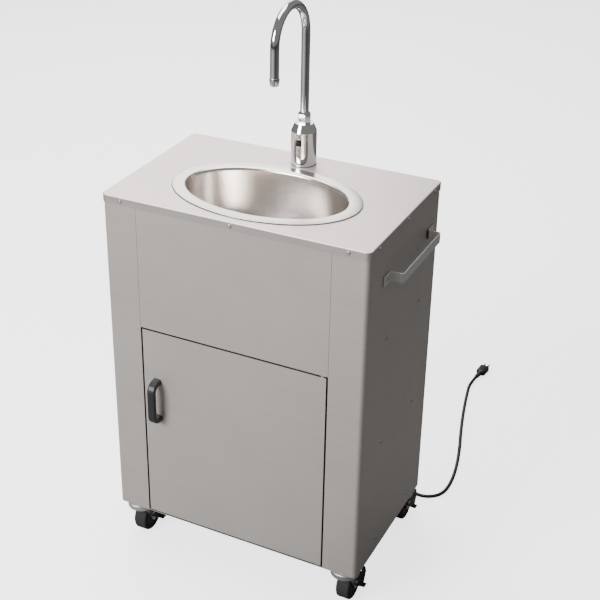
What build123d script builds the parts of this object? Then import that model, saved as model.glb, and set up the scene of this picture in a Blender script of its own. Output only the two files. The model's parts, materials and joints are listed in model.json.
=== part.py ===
from build123d import *
import os
from math import cos, radians, sin, tan

# Portable handwash sink: a folded sheet-metal cabinet on four braked swivel casters, with an
# oval bowl, a sensor gooseneck faucet, a side grab handle, a pivot-hung door and a mains cord.
# Millimetres. The origin is on the floor under the middle of the cabinet, +Z is up, +X is the
# side with the grab handle and the door faces -Y.

# ---------------------------------------------------------------- driving dimensions
# Cabinet
deck_width = 610.0
deck_depth = 390.0
deck_height = 899.0  # floor to the deck's top
cabinet_bottom = 102.0  # floor to the underside of the base pan
front_corner = 12.0
rear_corner = 10.0
deck_sheet = 1.5
panel_sheet = 1.5
pan_sheet = 1.5
lip_height = 18.0
lip_bend = 2.5  # outside radius of the bend between deck and lip
lip_clearance = 0.4  # between the lip's inside and the panels
seam_inset = 82.0  # deck's edge to each front seam
seam_gap = 0.6
jamb_depth = 35.0  # how far the side panels turn in behind a front seam
apron_flange = 24.0
apron_drop = 300.5  # deck's top to the front apron's lower edge
rear_flange = 60.0  # width of the side panels' strips on the back
back_lap = 20.0  # back panel behind each of those strips
pan_flange = 12.0
pan_clearance = 0.2
sill_depth = 4.5
post_width = 34.0
post_depth = 15.0
post_front_y = -82.0
post_rear_y = 99.0
post_foot_gap = 1.0  # post above the pan's flange
side_screw_heights = (138.0, 397.0, 655.0)

# Door
door_gap = 4.2
door_thick = 18.0
door_sheet = 1.2
door_floor_gap = 3.0
pivot_inset = 9.0  # pivot to the door's side edge
pivot_set_back = 7.0  # pivot to the door's front face
pivot_pin_r = 4.0
pivot_shoulder_r = 6.5
pivot_shoulder_clearance = 0.25
pivot_engage = 16.0  # pin inside the door
running_fit = 0.05
pull_height = 110.0
pull_width = 19.0
pull_reach = 31.0
pull_bar = 10.0
pull_inset = 33.0  # door's side edge to the pull's middle
pull_z = 421.0
pull_foot = 15.0  # height of each of the pull's feet
pull_bevel = 9.0
pull_edge_round = 3.0
pull_screw_in = 7.5  # end of the pull to its screw
catch_height = 44.0
catch_width = 12.0
catch_depth = 14.0
catch_z = 350.0
catch_clearance = 0.6
catch_edge_round = 1.0

# Fasteners
screw_head_r = 4.2
screw_head_h = 2.2
screw_shank_r = 2.0
screw_length = 9.0
screw_clearance = 0.1
rivet_head_r = 2.6
rivet_head_h = 1.1
rivet_shank_r = 1.4
lip_screw_inset_x = 47.0  # deck's edge to the end screws in its front and rear lips
lip_screw_inset_y = 44.0
lip_screw_low = 0.5  # lip screws below the middle of the lip

# Grab handle: a bent flat bar on the right side
handle_drop = 96.5  # deck's top to the bar's middle
handle_bar = 22.0
handle_thick = 3.0
handle_reach = 31.0
handle_front_y = -87.5
handle_grip = 211.0
handle_foot = 34.0
handle_bend = 5.0
handle_screw_in = 17.0  # foot end to its screw
rivet_spots = ((34.0, 112.0), (71.0, 110.0), (104.0, 154.0), (154.0, 155.0))  # y, and drop from the deck

# Bowl: concentric ovals, where a is a half length and b is a half width
bowl_front_margin = 20.0  # deck's front edge to the bowl's rim
bowl_sheet = 1.2
bowl_mouth_a = 179.0
bowl_mouth_b = 112.0
bowl_throat = 5.0  # mouth to crest, all round
bowl_brow_a = 27.0  # crest to rim, at the ends
bowl_brow_b = 23.0  # crest to rim, at the front and back
bowl_floor_a = 72.0
bowl_floor_b = 44.0
bowl_crest_rise = 3.2
bowl_rim_edge = 2.0
bowl_mouth_drop = 1.0
bowl_seat = 3.6  # width of the flat band on which the rim rests
bowl_depth = 142.0
bowl_wall_power = 0.72  # how square the wall turns into the floor
bowl_sections = 6
bowl_hole_clearance = 1.5

# Drain
strainer_r = 32.0
strainer_thick = 2.0
drain_body_r = 20.0
drain_wall = 2.5
drain_length = 60.0
drain_nut_r = 33.0
drain_nut_h = 14.0
drain_slot_w = 3.0
drain_hose_r = 19.0
drain_hose_wall = 2.5

# Faucet
faucet_rear_margin = 48.0  # deck's rear edge to the faucet's axis
faucet_r = 28.0
faucet_straight = 77.0
faucet_height = 95.0
faucet_shoulder_r = 20.5
faucet_gasket = 1.5
neck_nut_across = 26.0
neck_nut_h = 25.0
neck_nut_bevel = 5.0
spout_r = 9.5
spout_wall = 1.2
spout_engage = 20.0  # spout inside the faucet body
spout_bend_z = 297.0  # deck to the centre of the bend
spout_bend_r = 73.0
spout_end_z = 236.0  # deck to the end of the spout
aerator_wall = 1.5  # cup round the spout's end
aerator_tip_r = 8.6
aerator_bore_r = 6.0
aerator_length = 14.0
aerator_cup = 3.0
window_size = 14.0
window_depth = 6.0
window_z = 56.0
shank_r = 12.5
shank_bore_r = 6.0
shank_length = 60.0
shank_nut_across = 36.0
shank_nut_h = 8.0
shank_floor = 2.0
shank_hole_clearance = 1.5

# Tanks and water gear
tank_width = 200.0
tank_depth = 290.0
tank_height = 350.0
tank_gap = 16.0
tank_corner = 22.0
tank_neck_r = 27.0
tank_neck_h = 10.0
tank_cap_r = 32.0
tank_cap_h = 22.0
tank_cap_y = -35.0
tank_cap_grips = 12
tank_cap_grip_r = 3.0
tank_cap_brim = 4.0  # height of the cap above its grips
heater_r = 58.0
heater_height = 200.0
heater_x = -150.0
heater_z = 520.0
heater_stand_off = 16.0
heater_round = 10.0
saddle_half = 45.0
saddle_low = 40.0  # heater's bottom to the saddle
saddle_height = 110.0
pump_r = 32.0
pump_length = 90.0
pump_x = 150.0
pump_z = 560.0
pump_stand_off = 10.0
pump_round = 4.0
pump_foot_half = 30.0
pump_foot_half_height = 24.0
port_r = 8.0
port_length = 10.0
hose_r = 6.0
hose_wall = 1.5
control_width = 96.0
control_height = 110.0
control_depth = 44.0
control_round = 3.0
control_x = 185.0
control_z = 690.0

# Casters, drawn round the swivel axis at the origin with the wheel trailing towards +Y
caster_inset_x = 40.0  # deck's edge to the swivel axis
caster_inset_y = 35.0
wheel_r = 38.0
tyre_width = 32.0
tyre_round = 5.0
hub_r = 26.0
hub_width = 28.0
hub_boss_r = 11.0
axle_r = 5.0
axle_head_r = 8.0
axle_head_h = 2.0
wheel_trail = 22.0
fork_clearance = 2.0
fork_sheet = 2.5
fork_front = 17.0  # swivel axis to the leg's upper front corner
fork_rear = 19.0
crown_r = 33.0
crown_height = 15.0
crown_round = 3.0
race_r = 30.0
race_height = 5.0
race_round = 1.5
race_gap = 0.3
king_pin_r = 6.0
king_head_r = 9.0
king_head_h = 3.5
stem_length = 24.0
stem_nut_across = 19.0
stem_nut_h = 9.0
brake_pivot_y = 8.0
brake_pivot_z = 58.0
brake_stud_r = 4.0
brake_stud_proud = 1.5
brake_head = 7.0  # pivot to the lever's front and upper edges
brake_chin = 6.0  # pivot to the lever's lower corner
brake_sheet = 2.0
brake_side_gap = 0.5
brake_shoe_gap = 3.5
brake_shoe_thick = 3.0
brake_shoe_low = 10.0  # degrees above the axle's level
brake_shoe_high = 36.0
brake_shoe_inset = 2.0  # shoe's free end inside the tread's edge
brake_tab = 7.0
brake_tab_back = 18.0  # axle to the tab
brake_tab_length = 14.0
brake_tab_z = 18.0

# Mains cord. Its route is a list of points, from the gland's tip to the plug's tail.
cord_r = 4.5
gland_x = 150.0
gland_z = 130.0
gland_flange_r = 13.0
gland_flange_h = 4.0
gland_root_r = 8.5
gland_tip_r = 5.6
gland_boot = 34.0
gland_thread = 6.0  # gland inside the back panel
gland_round = 1.5
plug_length = 36.0
plug_width = 27.0
plug_height = 19.0
plug_round = 5.0
plug_nose = 24.0
plug_nose_root_r = 7.5
blade_length = 17.5
blade_height = 6.4
blade_thick = 1.5
blade_half_spacing = 6.35
earth_pin_r = 2.4
earth_pin_length = 20.5
earth_pin_drop = 5.5
blade_rise = 2.0  # blades above the plug's middle

# ---------------------------------------------------------------- derived places
deck_under = deck_height - deck_sheet
panel_top = deck_height - lip_bend  # the panels stop below the bend's inside curve
panel_inset = deck_sheet + lip_clearance
panel_x = deck_width / 2 - panel_inset  # outer face of a side panel
front_y = -deck_depth / 2 + panel_inset  # outer face of the front
rear_y = deck_depth / 2 - panel_inset  # outer face of the side panels' rear strips
back_outer_y = rear_y - panel_sheet  # outer face of the back panel
back_inner_y = back_outer_y - panel_sheet
pan_top = cabinet_bottom + pan_sheet
side_inner_x = panel_x - panel_sheet
lip_screw_z = deck_height - lip_height / 2 - lip_screw_low
lip_screw_x = deck_width / 2 - lip_screw_inset_x
lip_screw_y = deck_depth / 2 - lip_screw_inset_y
seam_half = deck_width / 2 - seam_inset  # middle of the front to each front seam
jamb_x = seam_half + seam_gap / 2  # outer face of a side panel's jamb
apron_bottom = deck_height - apron_drop
door_half = jamb_x - door_gap
door_bottom = pan_top + door_floor_gap
door_top = apron_bottom - door_gap
door_back_y = front_y + door_thick
pivot_x = door_half - pivot_inset
pivot_y = front_y + pivot_set_back
pull_x = pull_inset - door_half
pull_screw_heights = (pull_z - pull_height / 2 + pull_screw_in, pull_z + pull_height / 2 - pull_screw_in)
handle_z = deck_height - handle_drop
handle_rear_y = handle_front_y + handle_grip
rivet_places = [((panel_x, y, deck_height - drop), (1, 0, 0)) for y, drop in rivet_spots]
bowl_crest_a = bowl_mouth_a + bowl_throat
bowl_crest_b = bowl_mouth_b + bowl_throat
bowl_rim_a = bowl_crest_a + bowl_brow_a
bowl_rim_b = bowl_crest_b + bowl_brow_b
bowl_y = -deck_depth / 2 + bowl_front_margin + bowl_rim_b
bowl_mouth_z = deck_height - bowl_mouth_drop
bowl_floor_z = bowl_mouth_z - bowl_depth
bowl_under_z = bowl_floor_z - bowl_sheet
drain_end_z = bowl_under_z - drain_length
faucet_y = deck_depth / 2 - faucet_rear_margin
outlet_y = faucet_y - 2 * spout_bend_r
body_bottom = deck_height + faucet_gasket
body_top = deck_height + faucet_height
aerator_r = spout_r + aerator_wall
tank_x = tank_gap / 2 + tank_width / 2
tank_cap_top = pan_top + tank_height + tank_neck_h + tank_cap_h
heater_y = back_inner_y - heater_stand_off - heater_r
heater_top = heater_z + heater_height
pump_y = back_inner_y - pump_stand_off - pump_r
race_bottom = cabinet_bottom - race_height
crown_top = race_bottom - race_gap
crown_bottom = crown_top - crown_height
fork_inner = tyre_width / 2 + fork_clearance
fork_outer = fork_inner + fork_sheet
brake_inner = fork_outer + axle_head_h + brake_side_gap
brake_outer = brake_inner + brake_sheet
caster_x = deck_width / 2 - caster_inset_x
caster_y = deck_depth / 2 - caster_inset_y
caster_places = {
    "front_left": (-caster_x, -caster_y),
    "front_right": (caster_x, -caster_y),
    "rear_left": (-caster_x, caster_y),
    "rear_right": (caster_x, caster_y),
}
far = 2000.0  # beyond the object on every side, for cutting

cord_start_y = back_outer_y + gland_flange_h + gland_boot
cord_route = [
    (gland_x, cord_start_y, gland_z),
    (gland_x, 272, gland_z),
    (158, 306, 102),
    (172, 318, 58),
    (200, 308, 20),
    (240, 283, cord_r),
    (286, 268, cord_r),
    (325, 290, cord_r),
    (336, 335, cord_r),
    (328, 412, cord_r),
    (306, 504, cord_r),
    (277, 599, cord_r),
    (252, 695, cord_r),
    (235, 770, cord_r),
    (226, 818, plug_height / 2),
    (231, 862, plug_height / 2),
]
# The plug lies level on the floor, in line with the cord's last run.
plug_tail = Vector(*cord_route[-1])
plug_heading = plug_tail - Vector(*cord_route[-2])
plug_frame = Plane(origin=plug_tail, x_dir=plug_heading, z_dir=(0, 0, 1))


# ---------------------------------------------------------------- shape helpers
def block(x0, x1, y0, y1, z0, z1):
    """A box between two corners."""
    return Pos((x0 + x1) / 2, (y0 + y1) / 2, (z0 + z1) / 2) * Box(x1 - x0, y1 - y0, z1 - z0)


def rod(start, direction, radius, length):
    """A round bar that starts at a point and runs along a direction."""
    bar = Cylinder(radius, length, align=(Align.CENTER, Align.CENTER, Align.MIN))
    return Plane(origin=start, z_dir=direction) * bar


def cone(start, direction, start_radius, end_radius, length):
    """A round taper that starts at a point and runs along a direction."""
    taper = Cone(start_radius, end_radius, length, align=(Align.CENTER, Align.CENTER, Align.MIN))
    return Plane(origin=start, z_dir=direction) * taper


def hex_bar(x, y, z0, z1, across):
    """An upright hexagonal bar of a given size across its flats."""
    hexagon = RegularPolygon(across / 2, 6, major_radius=False)
    return Pos(x, y, z0) * extrude(hexagon, z1 - z0)


def outline(inset):
    """The deck's outline moved inwards, with its round front corners and small rear ones."""
    plate = Rectangle(deck_width - 2 * inset, deck_depth - 2 * inset)
    plate = fillet(plate.vertices().group_by(Axis.Y)[0], front_corner - inset)
    return fillet(plate.vertices().group_by(Axis.Y)[-1], rear_corner - inset)


def prism(face, z0, z1):
    """A flat outline carried upright from one height to another."""
    return Pos(0, 0, z0) * extrude(face, z1 - z0)


def side_plate(points, x0, x1):
    """A plate whose outline is given in Y and Z, from one X to another."""
    start = Plane(origin=(x0, 0, 0), x_dir=(0, 1, 0), z_dir=(1, 0, 0))
    return extrude(start * make_face(Polyline(*points, close=True)), x1 - x0)


def oval(half_length, half_width, z):
    """One level oval of the bowl."""
    return Pos(0, bowl_y, z) * Ellipse(half_length, half_width)


def oval_taper(lower, upper):
    """A solid with straight sides between two ovals, each (half length, half width, height)."""
    return loft([oval(*lower), oval(*upper)], ruled=True)


def bend_radii(points):
    """The radius at each inner point: 0.45 of its shorter run, over the tangent of half the turn."""
    radii = []
    for before, here, after in zip(points, points[1:], points[2:]):
        run_in = Vector(*here) - Vector(*before)
        run_out = Vector(*after) - Vector(*here)
        half_turn = radians(run_in.get_angle(run_out)) / 2
        radii.append(0.45 * min(run_in.length, run_out.length) / tan(half_turn))
    return radii


def bent_tube(points, radius, wall=None):
    """A round tube along straight runs joined by tangent arcs, solid if it has no wall."""
    path = FilletPolyline(*points, radius=bend_radii(points))
    section = Circle(radius)
    if wall:
        section -= Circle(radius - wall)
    start = Vector(*points[1]) - Vector(*points[0])
    return sweep(Plane(origin=points[0], z_dir=start) * section, path=path)


def save(name, *solids):
    """Writes one sub-part, which is one solid or a group of separate ones."""
    shape = solids[0] if len(solids) == 1 else Compound(children=list(solids))
    shape.label = name
    export_step(shape, os.path.join("parts", name + ".step"))


# ---------------------------------------------------------------- fasteners
def pan_screw(seat, outward):
    """A pan-head screw with a cross recess; its seat is the face that its head bears on."""
    frame = Plane(origin=seat, z_dir=outward)
    head = Cylinder(screw_head_r, screw_head_h, align=(Align.CENTER, Align.CENTER, Align.MIN))
    head = fillet(head.edges().group_by(Axis.Z)[-1], screw_head_h * 0.6)
    slot = Pos(0, 0, screw_head_h) * Box(screw_head_r, screw_head_r / 5, screw_head_h)
    shank = Pos(0, 0, -screw_length / 2) * Cylinder(screw_shank_r, screw_length)
    return frame * (head - slot - Rot(0, 0, 90) * slot + shank)


def rivet(seat, outward):
    """A small domed blind rivet."""
    frame = Plane(origin=seat, z_dir=outward)
    head = Cylinder(rivet_head_r, rivet_head_h, align=(Align.CENTER, Align.CENTER, Align.MIN))
    head = fillet(head.edges().group_by(Axis.Z)[-1], rivet_head_h * 0.6)
    shank = Pos(0, 0, -screw_length / 4) * Cylinder(rivet_shank_r, screw_length / 2)
    return frame * (head + shank)


def screw_places():
    """Every panel screw, as the point under its head and the direction it faces."""
    places = []
    lip_face_y = deck_depth / 2
    for x in (-lip_screw_x, 0, lip_screw_x):
        places.append(((x, -lip_face_y, lip_screw_z), (0, -1, 0)))
        places.append(((x, lip_face_y, lip_screw_z), (0, 1, 0)))
    for side in (-1, 1):
        for y in (-lip_screw_y, 0, lip_screw_y):
            places.append(((side * deck_width / 2, y, lip_screw_z), (side, 0, 0)))
        for y in (post_front_y, post_rear_y):
            for z in side_screw_heights:
                places.append(((side * panel_x, y, z), (side, 0, 0)))
        back_screw_x = side * (panel_x - rear_flange + back_lap / 2)
        for z in side_screw_heights:
            places.append(((back_screw_x, rear_y, z), (0, 1, 0)))
    handle_screw_out = handle_foot - handle_screw_in
    for y in (handle_front_y - handle_screw_out, handle_rear_y + handle_screw_out):
        places.append(((panel_x + handle_thick, y, handle_z), (1, 0, 0)))
    return places


def drill(shape):
    """Clears a hole for every screw and rivet whose shank passes through the shape."""
    for places, radius in ((screw_places(), screw_shank_r), (rivet_places, rivet_shank_r)):
        for seat, outward in places:
            hole = rod(seat, outward, radius + screw_clearance, 4 * screw_length)
            hole = hole.translate(Vector(*outward) * -2 * screw_length)
            if shape.bounding_box().overlaps(hole.bounding_box()):
                shape -= hole
    return shape


# ---------------------------------------------------------------- cabinet
def top_deck():
    """The deck: a flat top with a turned-down lip, cut for the bowl and the faucet."""
    outer = prism(outline(0), deck_height - lip_height, deck_height)
    outer = fillet(outer.edges().group_by(Axis.Z)[-1], lip_bend)
    inner = prism(outline(deck_sheet), deck_height - lip_height - 1, deck_under)
    inner = fillet(inner.edges().group_by(Axis.Z)[-1], lip_bend - deck_sheet)
    # Level with the deck, the bowl's throat has already opened part of the way to its crest.
    opened = bowl_mouth_drop / (bowl_mouth_drop + bowl_crest_rise)
    hole_a = bowl_mouth_a + opened * (bowl_crest_a - bowl_mouth_a) + bowl_sheet + bowl_hole_clearance
    hole_b = bowl_mouth_b + opened * (bowl_crest_b - bowl_mouth_b) + bowl_sheet + bowl_hole_clearance
    bowl_hole = Pos(0, bowl_y, deck_height) * extrude(Ellipse(hole_a, hole_b), lip_height, both=True)
    hole_r = shank_r + shank_hole_clearance
    faucet_hole = rod((0, faucet_y, deck_height - lip_height), (0, 0, 1), hole_r, far)
    return drill(outer - inner - bowl_hole - faucet_hole)


def side_panel(side):
    """A side panel that wraps round the front corner to the seam, with a jamb and a rear strip."""
    shell = prism(outline(panel_inset), cabinet_bottom, panel_top)
    shell -= prism(outline(panel_inset + panel_sheet), cabinet_bottom - 1, panel_top + 1)
    strip_x = panel_x - rear_flange
    front = block(jamb_x, far, -far, 0, 0, far)
    rear = block(strip_x, far, 0, far, 0, far)
    jamb = block(jamb_x, jamb_x + panel_sheet, front_y, front_y + jamb_depth, cabinet_bottom, panel_top)
    panel = shell & (front + rear)
    panel += jamb
    if side < 0:
        panel = mirror(panel, about=Plane.YZ)
    return drill(panel)


def front_apron():
    """The fixed front sheet above the door, flanged at its sides and its lower edge."""
    half = seam_half - seam_gap / 2
    sheet = block(-half, half, front_y, front_y + panel_sheet, apron_bottom, panel_top)
    for side in (-1, 1):
        x0, x1 = sorted((side * half, side * (half - panel_sheet)))
        sheet += block(x0, x1, front_y, front_y + apron_flange, apron_bottom, panel_top)
    sheet += block(-half, half, front_y, front_y + apron_flange, apron_bottom, apron_bottom + panel_sheet)
    start = (pivot_x, pivot_y, apron_bottom - 1)
    return drill(sheet - rod(start, (0, 0, 1), pivot_pin_r + running_fit, panel_sheet + 2))


def back_panel():
    """The flat back sheet, lapped behind the side panels' rear strips."""
    half = panel_x - rear_flange + back_lap
    sheet = block(-half, half, back_inner_y, back_outer_y, pan_top, panel_top)
    gland_hole = rod((gland_x, back_inner_y - 1, gland_z), (0, 1, 0), gland_root_r, panel_sheet + 2)
    return drill(sheet - gland_hole)


def base_pan():
    """The cabinet's floor, with a turned-up flange along each side and holes for the stems."""
    inset = panel_inset + panel_sheet + pan_clearance
    pan = prism(outline(inset), cabinet_bottom, pan_top)
    rim = prism(outline(inset), pan_top, pan_top + pan_flange)
    rim -= prism(outline(inset + pan_sheet), pan_top - 1, pan_top + pan_flange + 1)
    straight = caster_y - front_corner / 2
    pan += rim & block(-far, far, -straight, straight, 0, far)
    # The jambs stand in slots at the pan's front edge, and its sill reaches the door's face.
    for side in (-1, 1):
        x0, x1 = sorted((side * (jamb_x - pan_clearance), side * (jamb_x + panel_sheet + pan_clearance)))
        pan -= block(x0, x1, -far, front_y + jamb_depth + pan_clearance, 0, far)
    sill = jamb_x - pan_clearance
    pan += block(-sill, sill, front_y, front_y + sill_depth, cabinet_bottom, pan_top)
    for x, y in caster_places.values():
        pan -= rod((x, y, cabinet_bottom - 1), (0, 0, 1), king_pin_r, pan_sheet + 2)
    start = (pivot_x, pivot_y, cabinet_bottom - 1)
    return pan - rod(start, (0, 0, 1), pivot_pin_r + running_fit, pan_sheet + 2)


def frame_post(side, y):
    """An upright channel behind a side panel, which its screws go into."""
    z0 = pan_top + pan_flange + post_foot_gap
    half = post_width / 2
    post = block(side_inner_x - post_depth, side_inner_x, y - half, y + half, z0, deck_under)
    hollow = block(
        side_inner_x - post_depth - 1,
        side_inner_x - panel_sheet,
        y - half + panel_sheet,
        y + half - panel_sheet,
        z0 - 1,
        deck_under + 1,
    )
    post = post - hollow
    if side < 0:
        post = mirror(post, about=Plane.YZ)
    return drill(post)


def grab_handle():
    """A flat bar bent into two feet, two arms and a grip along the right side."""
    foot_x = panel_x + handle_thick / 2
    grip_x = panel_x + handle_reach - handle_thick / 2
    points = [
        (foot_x, handle_front_y - handle_foot, handle_z),
        (foot_x, handle_front_y, handle_z),
        (grip_x, handle_front_y, handle_z),
        (grip_x, handle_rear_y, handle_z),
        (foot_x, handle_rear_y, handle_z),
        (foot_x, handle_rear_y + handle_foot, handle_z),
    ]
    path = FilletPolyline(*points, radius=handle_bend)
    start = Plane(origin=points[0], x_dir=(1, 0, 0), z_dir=(0, 1, 0))
    return drill(sweep(start * Rectangle(handle_thick, handle_bar), path=path))


def door_catch():
    """A magnetic catch on the left jamb, just behind the closed door."""
    x0 = -jamb_x
    y0 = door_back_y + catch_clearance
    catch = block(x0, x0 + catch_width, y0, y0 + catch_depth, catch_z, catch_z + catch_height)
    return fillet(catch.edges().filter_by(Axis.Z), catch_edge_round)


# ---------------------------------------------------------------- door
def door_skin():
    """The door's outer tray: a face with four edges turned back."""
    tray = block(-door_half, door_half, front_y, door_back_y, door_bottom, door_top)
    tray -= block(
        -door_half + door_sheet,
        door_half - door_sheet,
        front_y + door_sheet,
        door_back_y + 1,
        door_bottom + door_sheet,
        door_top - door_sheet,
    )
    for z in (door_bottom, door_top):
        tray -= rod((pivot_x, pivot_y, z - door_sheet * 2), (0, 0, 1), pivot_pin_r, door_sheet * 4)
    for z in pull_screw_heights:
        tray -= rod((pull_x, front_y - 1, z), (0, 1, 0), screw_shank_r + screw_clearance, door_sheet + 2)
    return tray


def door_liner():
    """The sheet that closes the door's back, between its turned edges."""
    inner = door_half - door_sheet
    return block(
        -inner, inner, door_back_y - door_sheet, door_back_y, door_bottom + door_sheet, door_top - door_sheet
    )


def door_pull():
    """A D-shaped pull with bevelled corners, standing off the door's face."""
    low = pull_z - pull_height / 2
    high = pull_z + pull_height / 2
    outer_y = front_y - pull_reach
    inner_y = outer_y + pull_bar
    rise = pull_bevel * 1.2
    points = [
        (front_y, low),
        (outer_y + pull_bevel, low),
        (outer_y, low + rise),
        (outer_y, high - rise),
        (outer_y + pull_bevel, high),
        (front_y, high),
        (front_y, high - pull_foot),
        (inner_y + pull_bevel / 2, high - pull_foot),
        (inner_y, high - pull_foot - pull_bevel / 2),
        (inner_y, low + pull_foot + pull_bevel / 2),
        (inner_y + pull_bevel / 2, low + pull_foot),
        (front_y, low + pull_foot),
    ]
    pull = side_plate(points, pull_x - pull_width / 2, pull_x + pull_width / 2)
    pull = fillet(pull.faces().sort_by(Axis.Y)[0].edges().filter_by(Axis.Z), pull_edge_round)
    for z in pull_screw_heights:
        pull -= rod((pull_x, front_y + 1, z), (0, -1, 0), screw_shank_r + screw_clearance, screw_length)
    return pull


def pull_screws():
    """Two screws from inside the door into the pull's feet."""
    screws = []
    for z in pull_screw_heights:
        screws.append(pan_screw((pull_x, front_y + door_sheet, z), (0, 1, 0)))
    return screws


def hinge_pins():
    """The two shouldered pivot pins, at the top and bottom of the door's right edge."""
    pins = []
    ends = ((door_top, 1, door_gap, panel_sheet), (door_bottom, -1, door_floor_gap, pan_sheet))
    for edge, out, gap, plate in ends:
        start = edge - out * pivot_engage
        pin = rod((pivot_x, pivot_y, start), (0, 0, out), pivot_pin_r, pivot_engage + gap + plate + 1)
        pin += rod((pivot_x, pivot_y, edge), (0, 0, out), pivot_shoulder_r, gap - pivot_shoulder_clearance)
        pins.append(pin)
    return pins


# ---------------------------------------------------------------- bowl and drain
def bowl_wall(grow):
    """The bowl's deep part: a smooth skin through ovals that shrink like a squared-off arc."""
    ovals = []
    for step in range(bowl_sections + 1):
        turn = radians(90.0 * step / bowl_sections)
        spread = cos(turn) ** bowl_wall_power if step < bowl_sections else 0.0
        a = bowl_floor_a + grow + (bowl_mouth_a - bowl_floor_a) * spread
        b = bowl_floor_b + grow + (bowl_mouth_b - bowl_floor_b) * spread
        ovals.append(oval(a, b, bowl_mouth_z - (bowl_depth + grow) * sin(turn) ** bowl_wall_power))
    return loft(ovals)


def bowl():
    """An oval basin with a raised rim: the rim climbs to a crest, then rolls down into the bowl."""
    crest_z = deck_height + bowl_crest_rise
    rim_z = deck_height + bowl_rim_edge
    t = bowl_sheet
    rim = oval_taper((bowl_rim_a, bowl_rim_b, rim_z), (bowl_crest_a, bowl_crest_b, crest_z))
    rim += Pos(0, bowl_y, deck_height) * extrude(Ellipse(bowl_rim_a, bowl_rim_b), bowl_rim_edge)
    rim_under = oval_taper(
        (bowl_rim_a - bowl_seat, bowl_rim_b - bowl_seat, deck_height),
        (bowl_crest_a, bowl_crest_b, crest_z - t),
    )
    throat = oval_taper((bowl_mouth_a, bowl_mouth_b, bowl_mouth_z), (bowl_crest_a, bowl_crest_b, crest_z))
    throat_out = oval_taper(
        (bowl_mouth_a + t, bowl_mouth_b + t, bowl_mouth_z),
        (bowl_crest_a + t, bowl_crest_b + t, crest_z),
    )
    shape = rim - (rim_under - throat_out)
    shape += throat_out & block(-far, far, -far, far, 0, crest_z - t)
    shape += bowl_wall(t)
    shape = shape - throat - bowl_wall(0)
    return shape - rod((0, bowl_y, bowl_under_z - 1), (0, 0, 1), drain_body_r, bowl_sheet + 2)


def drain_strainer():
    """The drain's flange and slotted strainer over its tail tube."""
    flange = rod((0, bowl_y, bowl_floor_z), (0, 0, 1), strainer_r, strainer_thick)
    flange = fillet(flange.edges().group_by(Axis.Z)[-1], strainer_thick * 0.6)
    tail = rod((0, bowl_y, drain_end_z), (0, 0, 1), drain_body_r, bowl_floor_z - drain_end_z)
    reach = drain_body_r - drain_wall
    bore = rod((0, bowl_y, drain_end_z - 1), (0, 0, 1), reach, bowl_floor_z - drain_end_z + 1)
    drain = flange + tail - bore
    for step in (-2, -1, 0, 1, 2):
        x = step * drain_slot_w * 2
        half = (reach**2 - x**2) ** 0.5 - drain_slot_w
        x0, x1 = x - drain_slot_w / 2, x + drain_slot_w / 2
        drain -= block(x0, x1, bowl_y - half, bowl_y + half, bowl_floor_z - 1, deck_height)
    return drain


def drain_nut():
    """The large nut that clamps the drain under the bowl."""
    nut = hex_bar(0, bowl_y, bowl_under_z - drain_nut_h, bowl_under_z, drain_nut_r * 2)
    start = (0, bowl_y, bowl_under_z - drain_nut_h - 1)
    return nut - rod(start, (0, 0, 1), drain_body_r, drain_nut_h + 2)


def drain_hose():
    """The waste hose from the drain's tail to the waste tank's cap."""
    drop = drain_end_z - tank_cap_top
    points = [
        (0, bowl_y, drain_end_z),
        (0, bowl_y, drain_end_z - drop * 0.22),
        (-tank_x * 0.24, bowl_y, drain_end_z - drop * 0.43),
        (-tank_x * 0.76, tank_cap_y, tank_cap_top + drop * 0.38),
        (-tank_x, tank_cap_y, tank_cap_top + drop * 0.2),
        (-tank_x, tank_cap_y, tank_cap_top),
    ]
    return bent_tube(points, drain_hose_r, drain_hose_wall)


# ---------------------------------------------------------------- faucet
def faucet_body():
    """The faucet's round body: a straight barrel and a sloping shoulder, bored for the spout."""
    shoulder_z = deck_height + faucet_straight
    body = rod((0, faucet_y, body_bottom), (0, 0, 1), faucet_r, shoulder_z - body_bottom)
    body += cone((0, faucet_y, shoulder_z), (0, 0, 1), faucet_r, faucet_shoulder_r, body_top - shoulder_z)
    bore_z = body_top - spout_engage - 1
    body -= rod((0, faucet_y, bore_z), (0, 0, 1), spout_r + running_fit, far)
    body -= rod((0, faucet_y, body_bottom - 1), (0, 0, 1), shank_bore_r, far)
    return body - window_block()


def window_block():
    """The square block behind the sensor's window, as deep as its pocket."""
    half = window_size / 2
    front = faucet_y - faucet_r
    z = deck_height + window_z
    return block(-half, half, front - 1, front + window_depth, z - half, z + half)


def sensor_window():
    """The sensor's dark window, flush with the round body."""
    barrel = rod((0, faucet_y, deck_height), (0, 0, 1), faucet_r, faucet_height)
    return window_block() & barrel


def faucet_gasket_ring():
    """The flat seal between faucet and deck."""
    ring = rod((0, faucet_y, deck_height), (0, 0, 1), faucet_r, faucet_gasket)
    hole_r = shank_r + shank_hole_clearance
    return ring - rod((0, faucet_y, deck_height - 1), (0, 0, 1), hole_r, faucet_gasket + 2)


def faucet_shank():
    """The threaded tube that passes through the deck."""
    bottom = body_bottom - shank_length
    shank = rod((0, faucet_y, bottom), (0, 0, 1), shank_r, shank_length)
    return shank - rod((0, faucet_y, bottom + shank_floor), (0, 0, 1), shank_bore_r, shank_length)


def shank_nut():
    """The nut that pulls the faucet down, under the deck."""
    nut = hex_bar(0, faucet_y, deck_under - shank_nut_h, deck_under, shank_nut_across)
    return nut - rod((0, faucet_y, deck_under - shank_nut_h - 1), (0, 0, 1), shank_r, shank_nut_h + 2)


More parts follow.
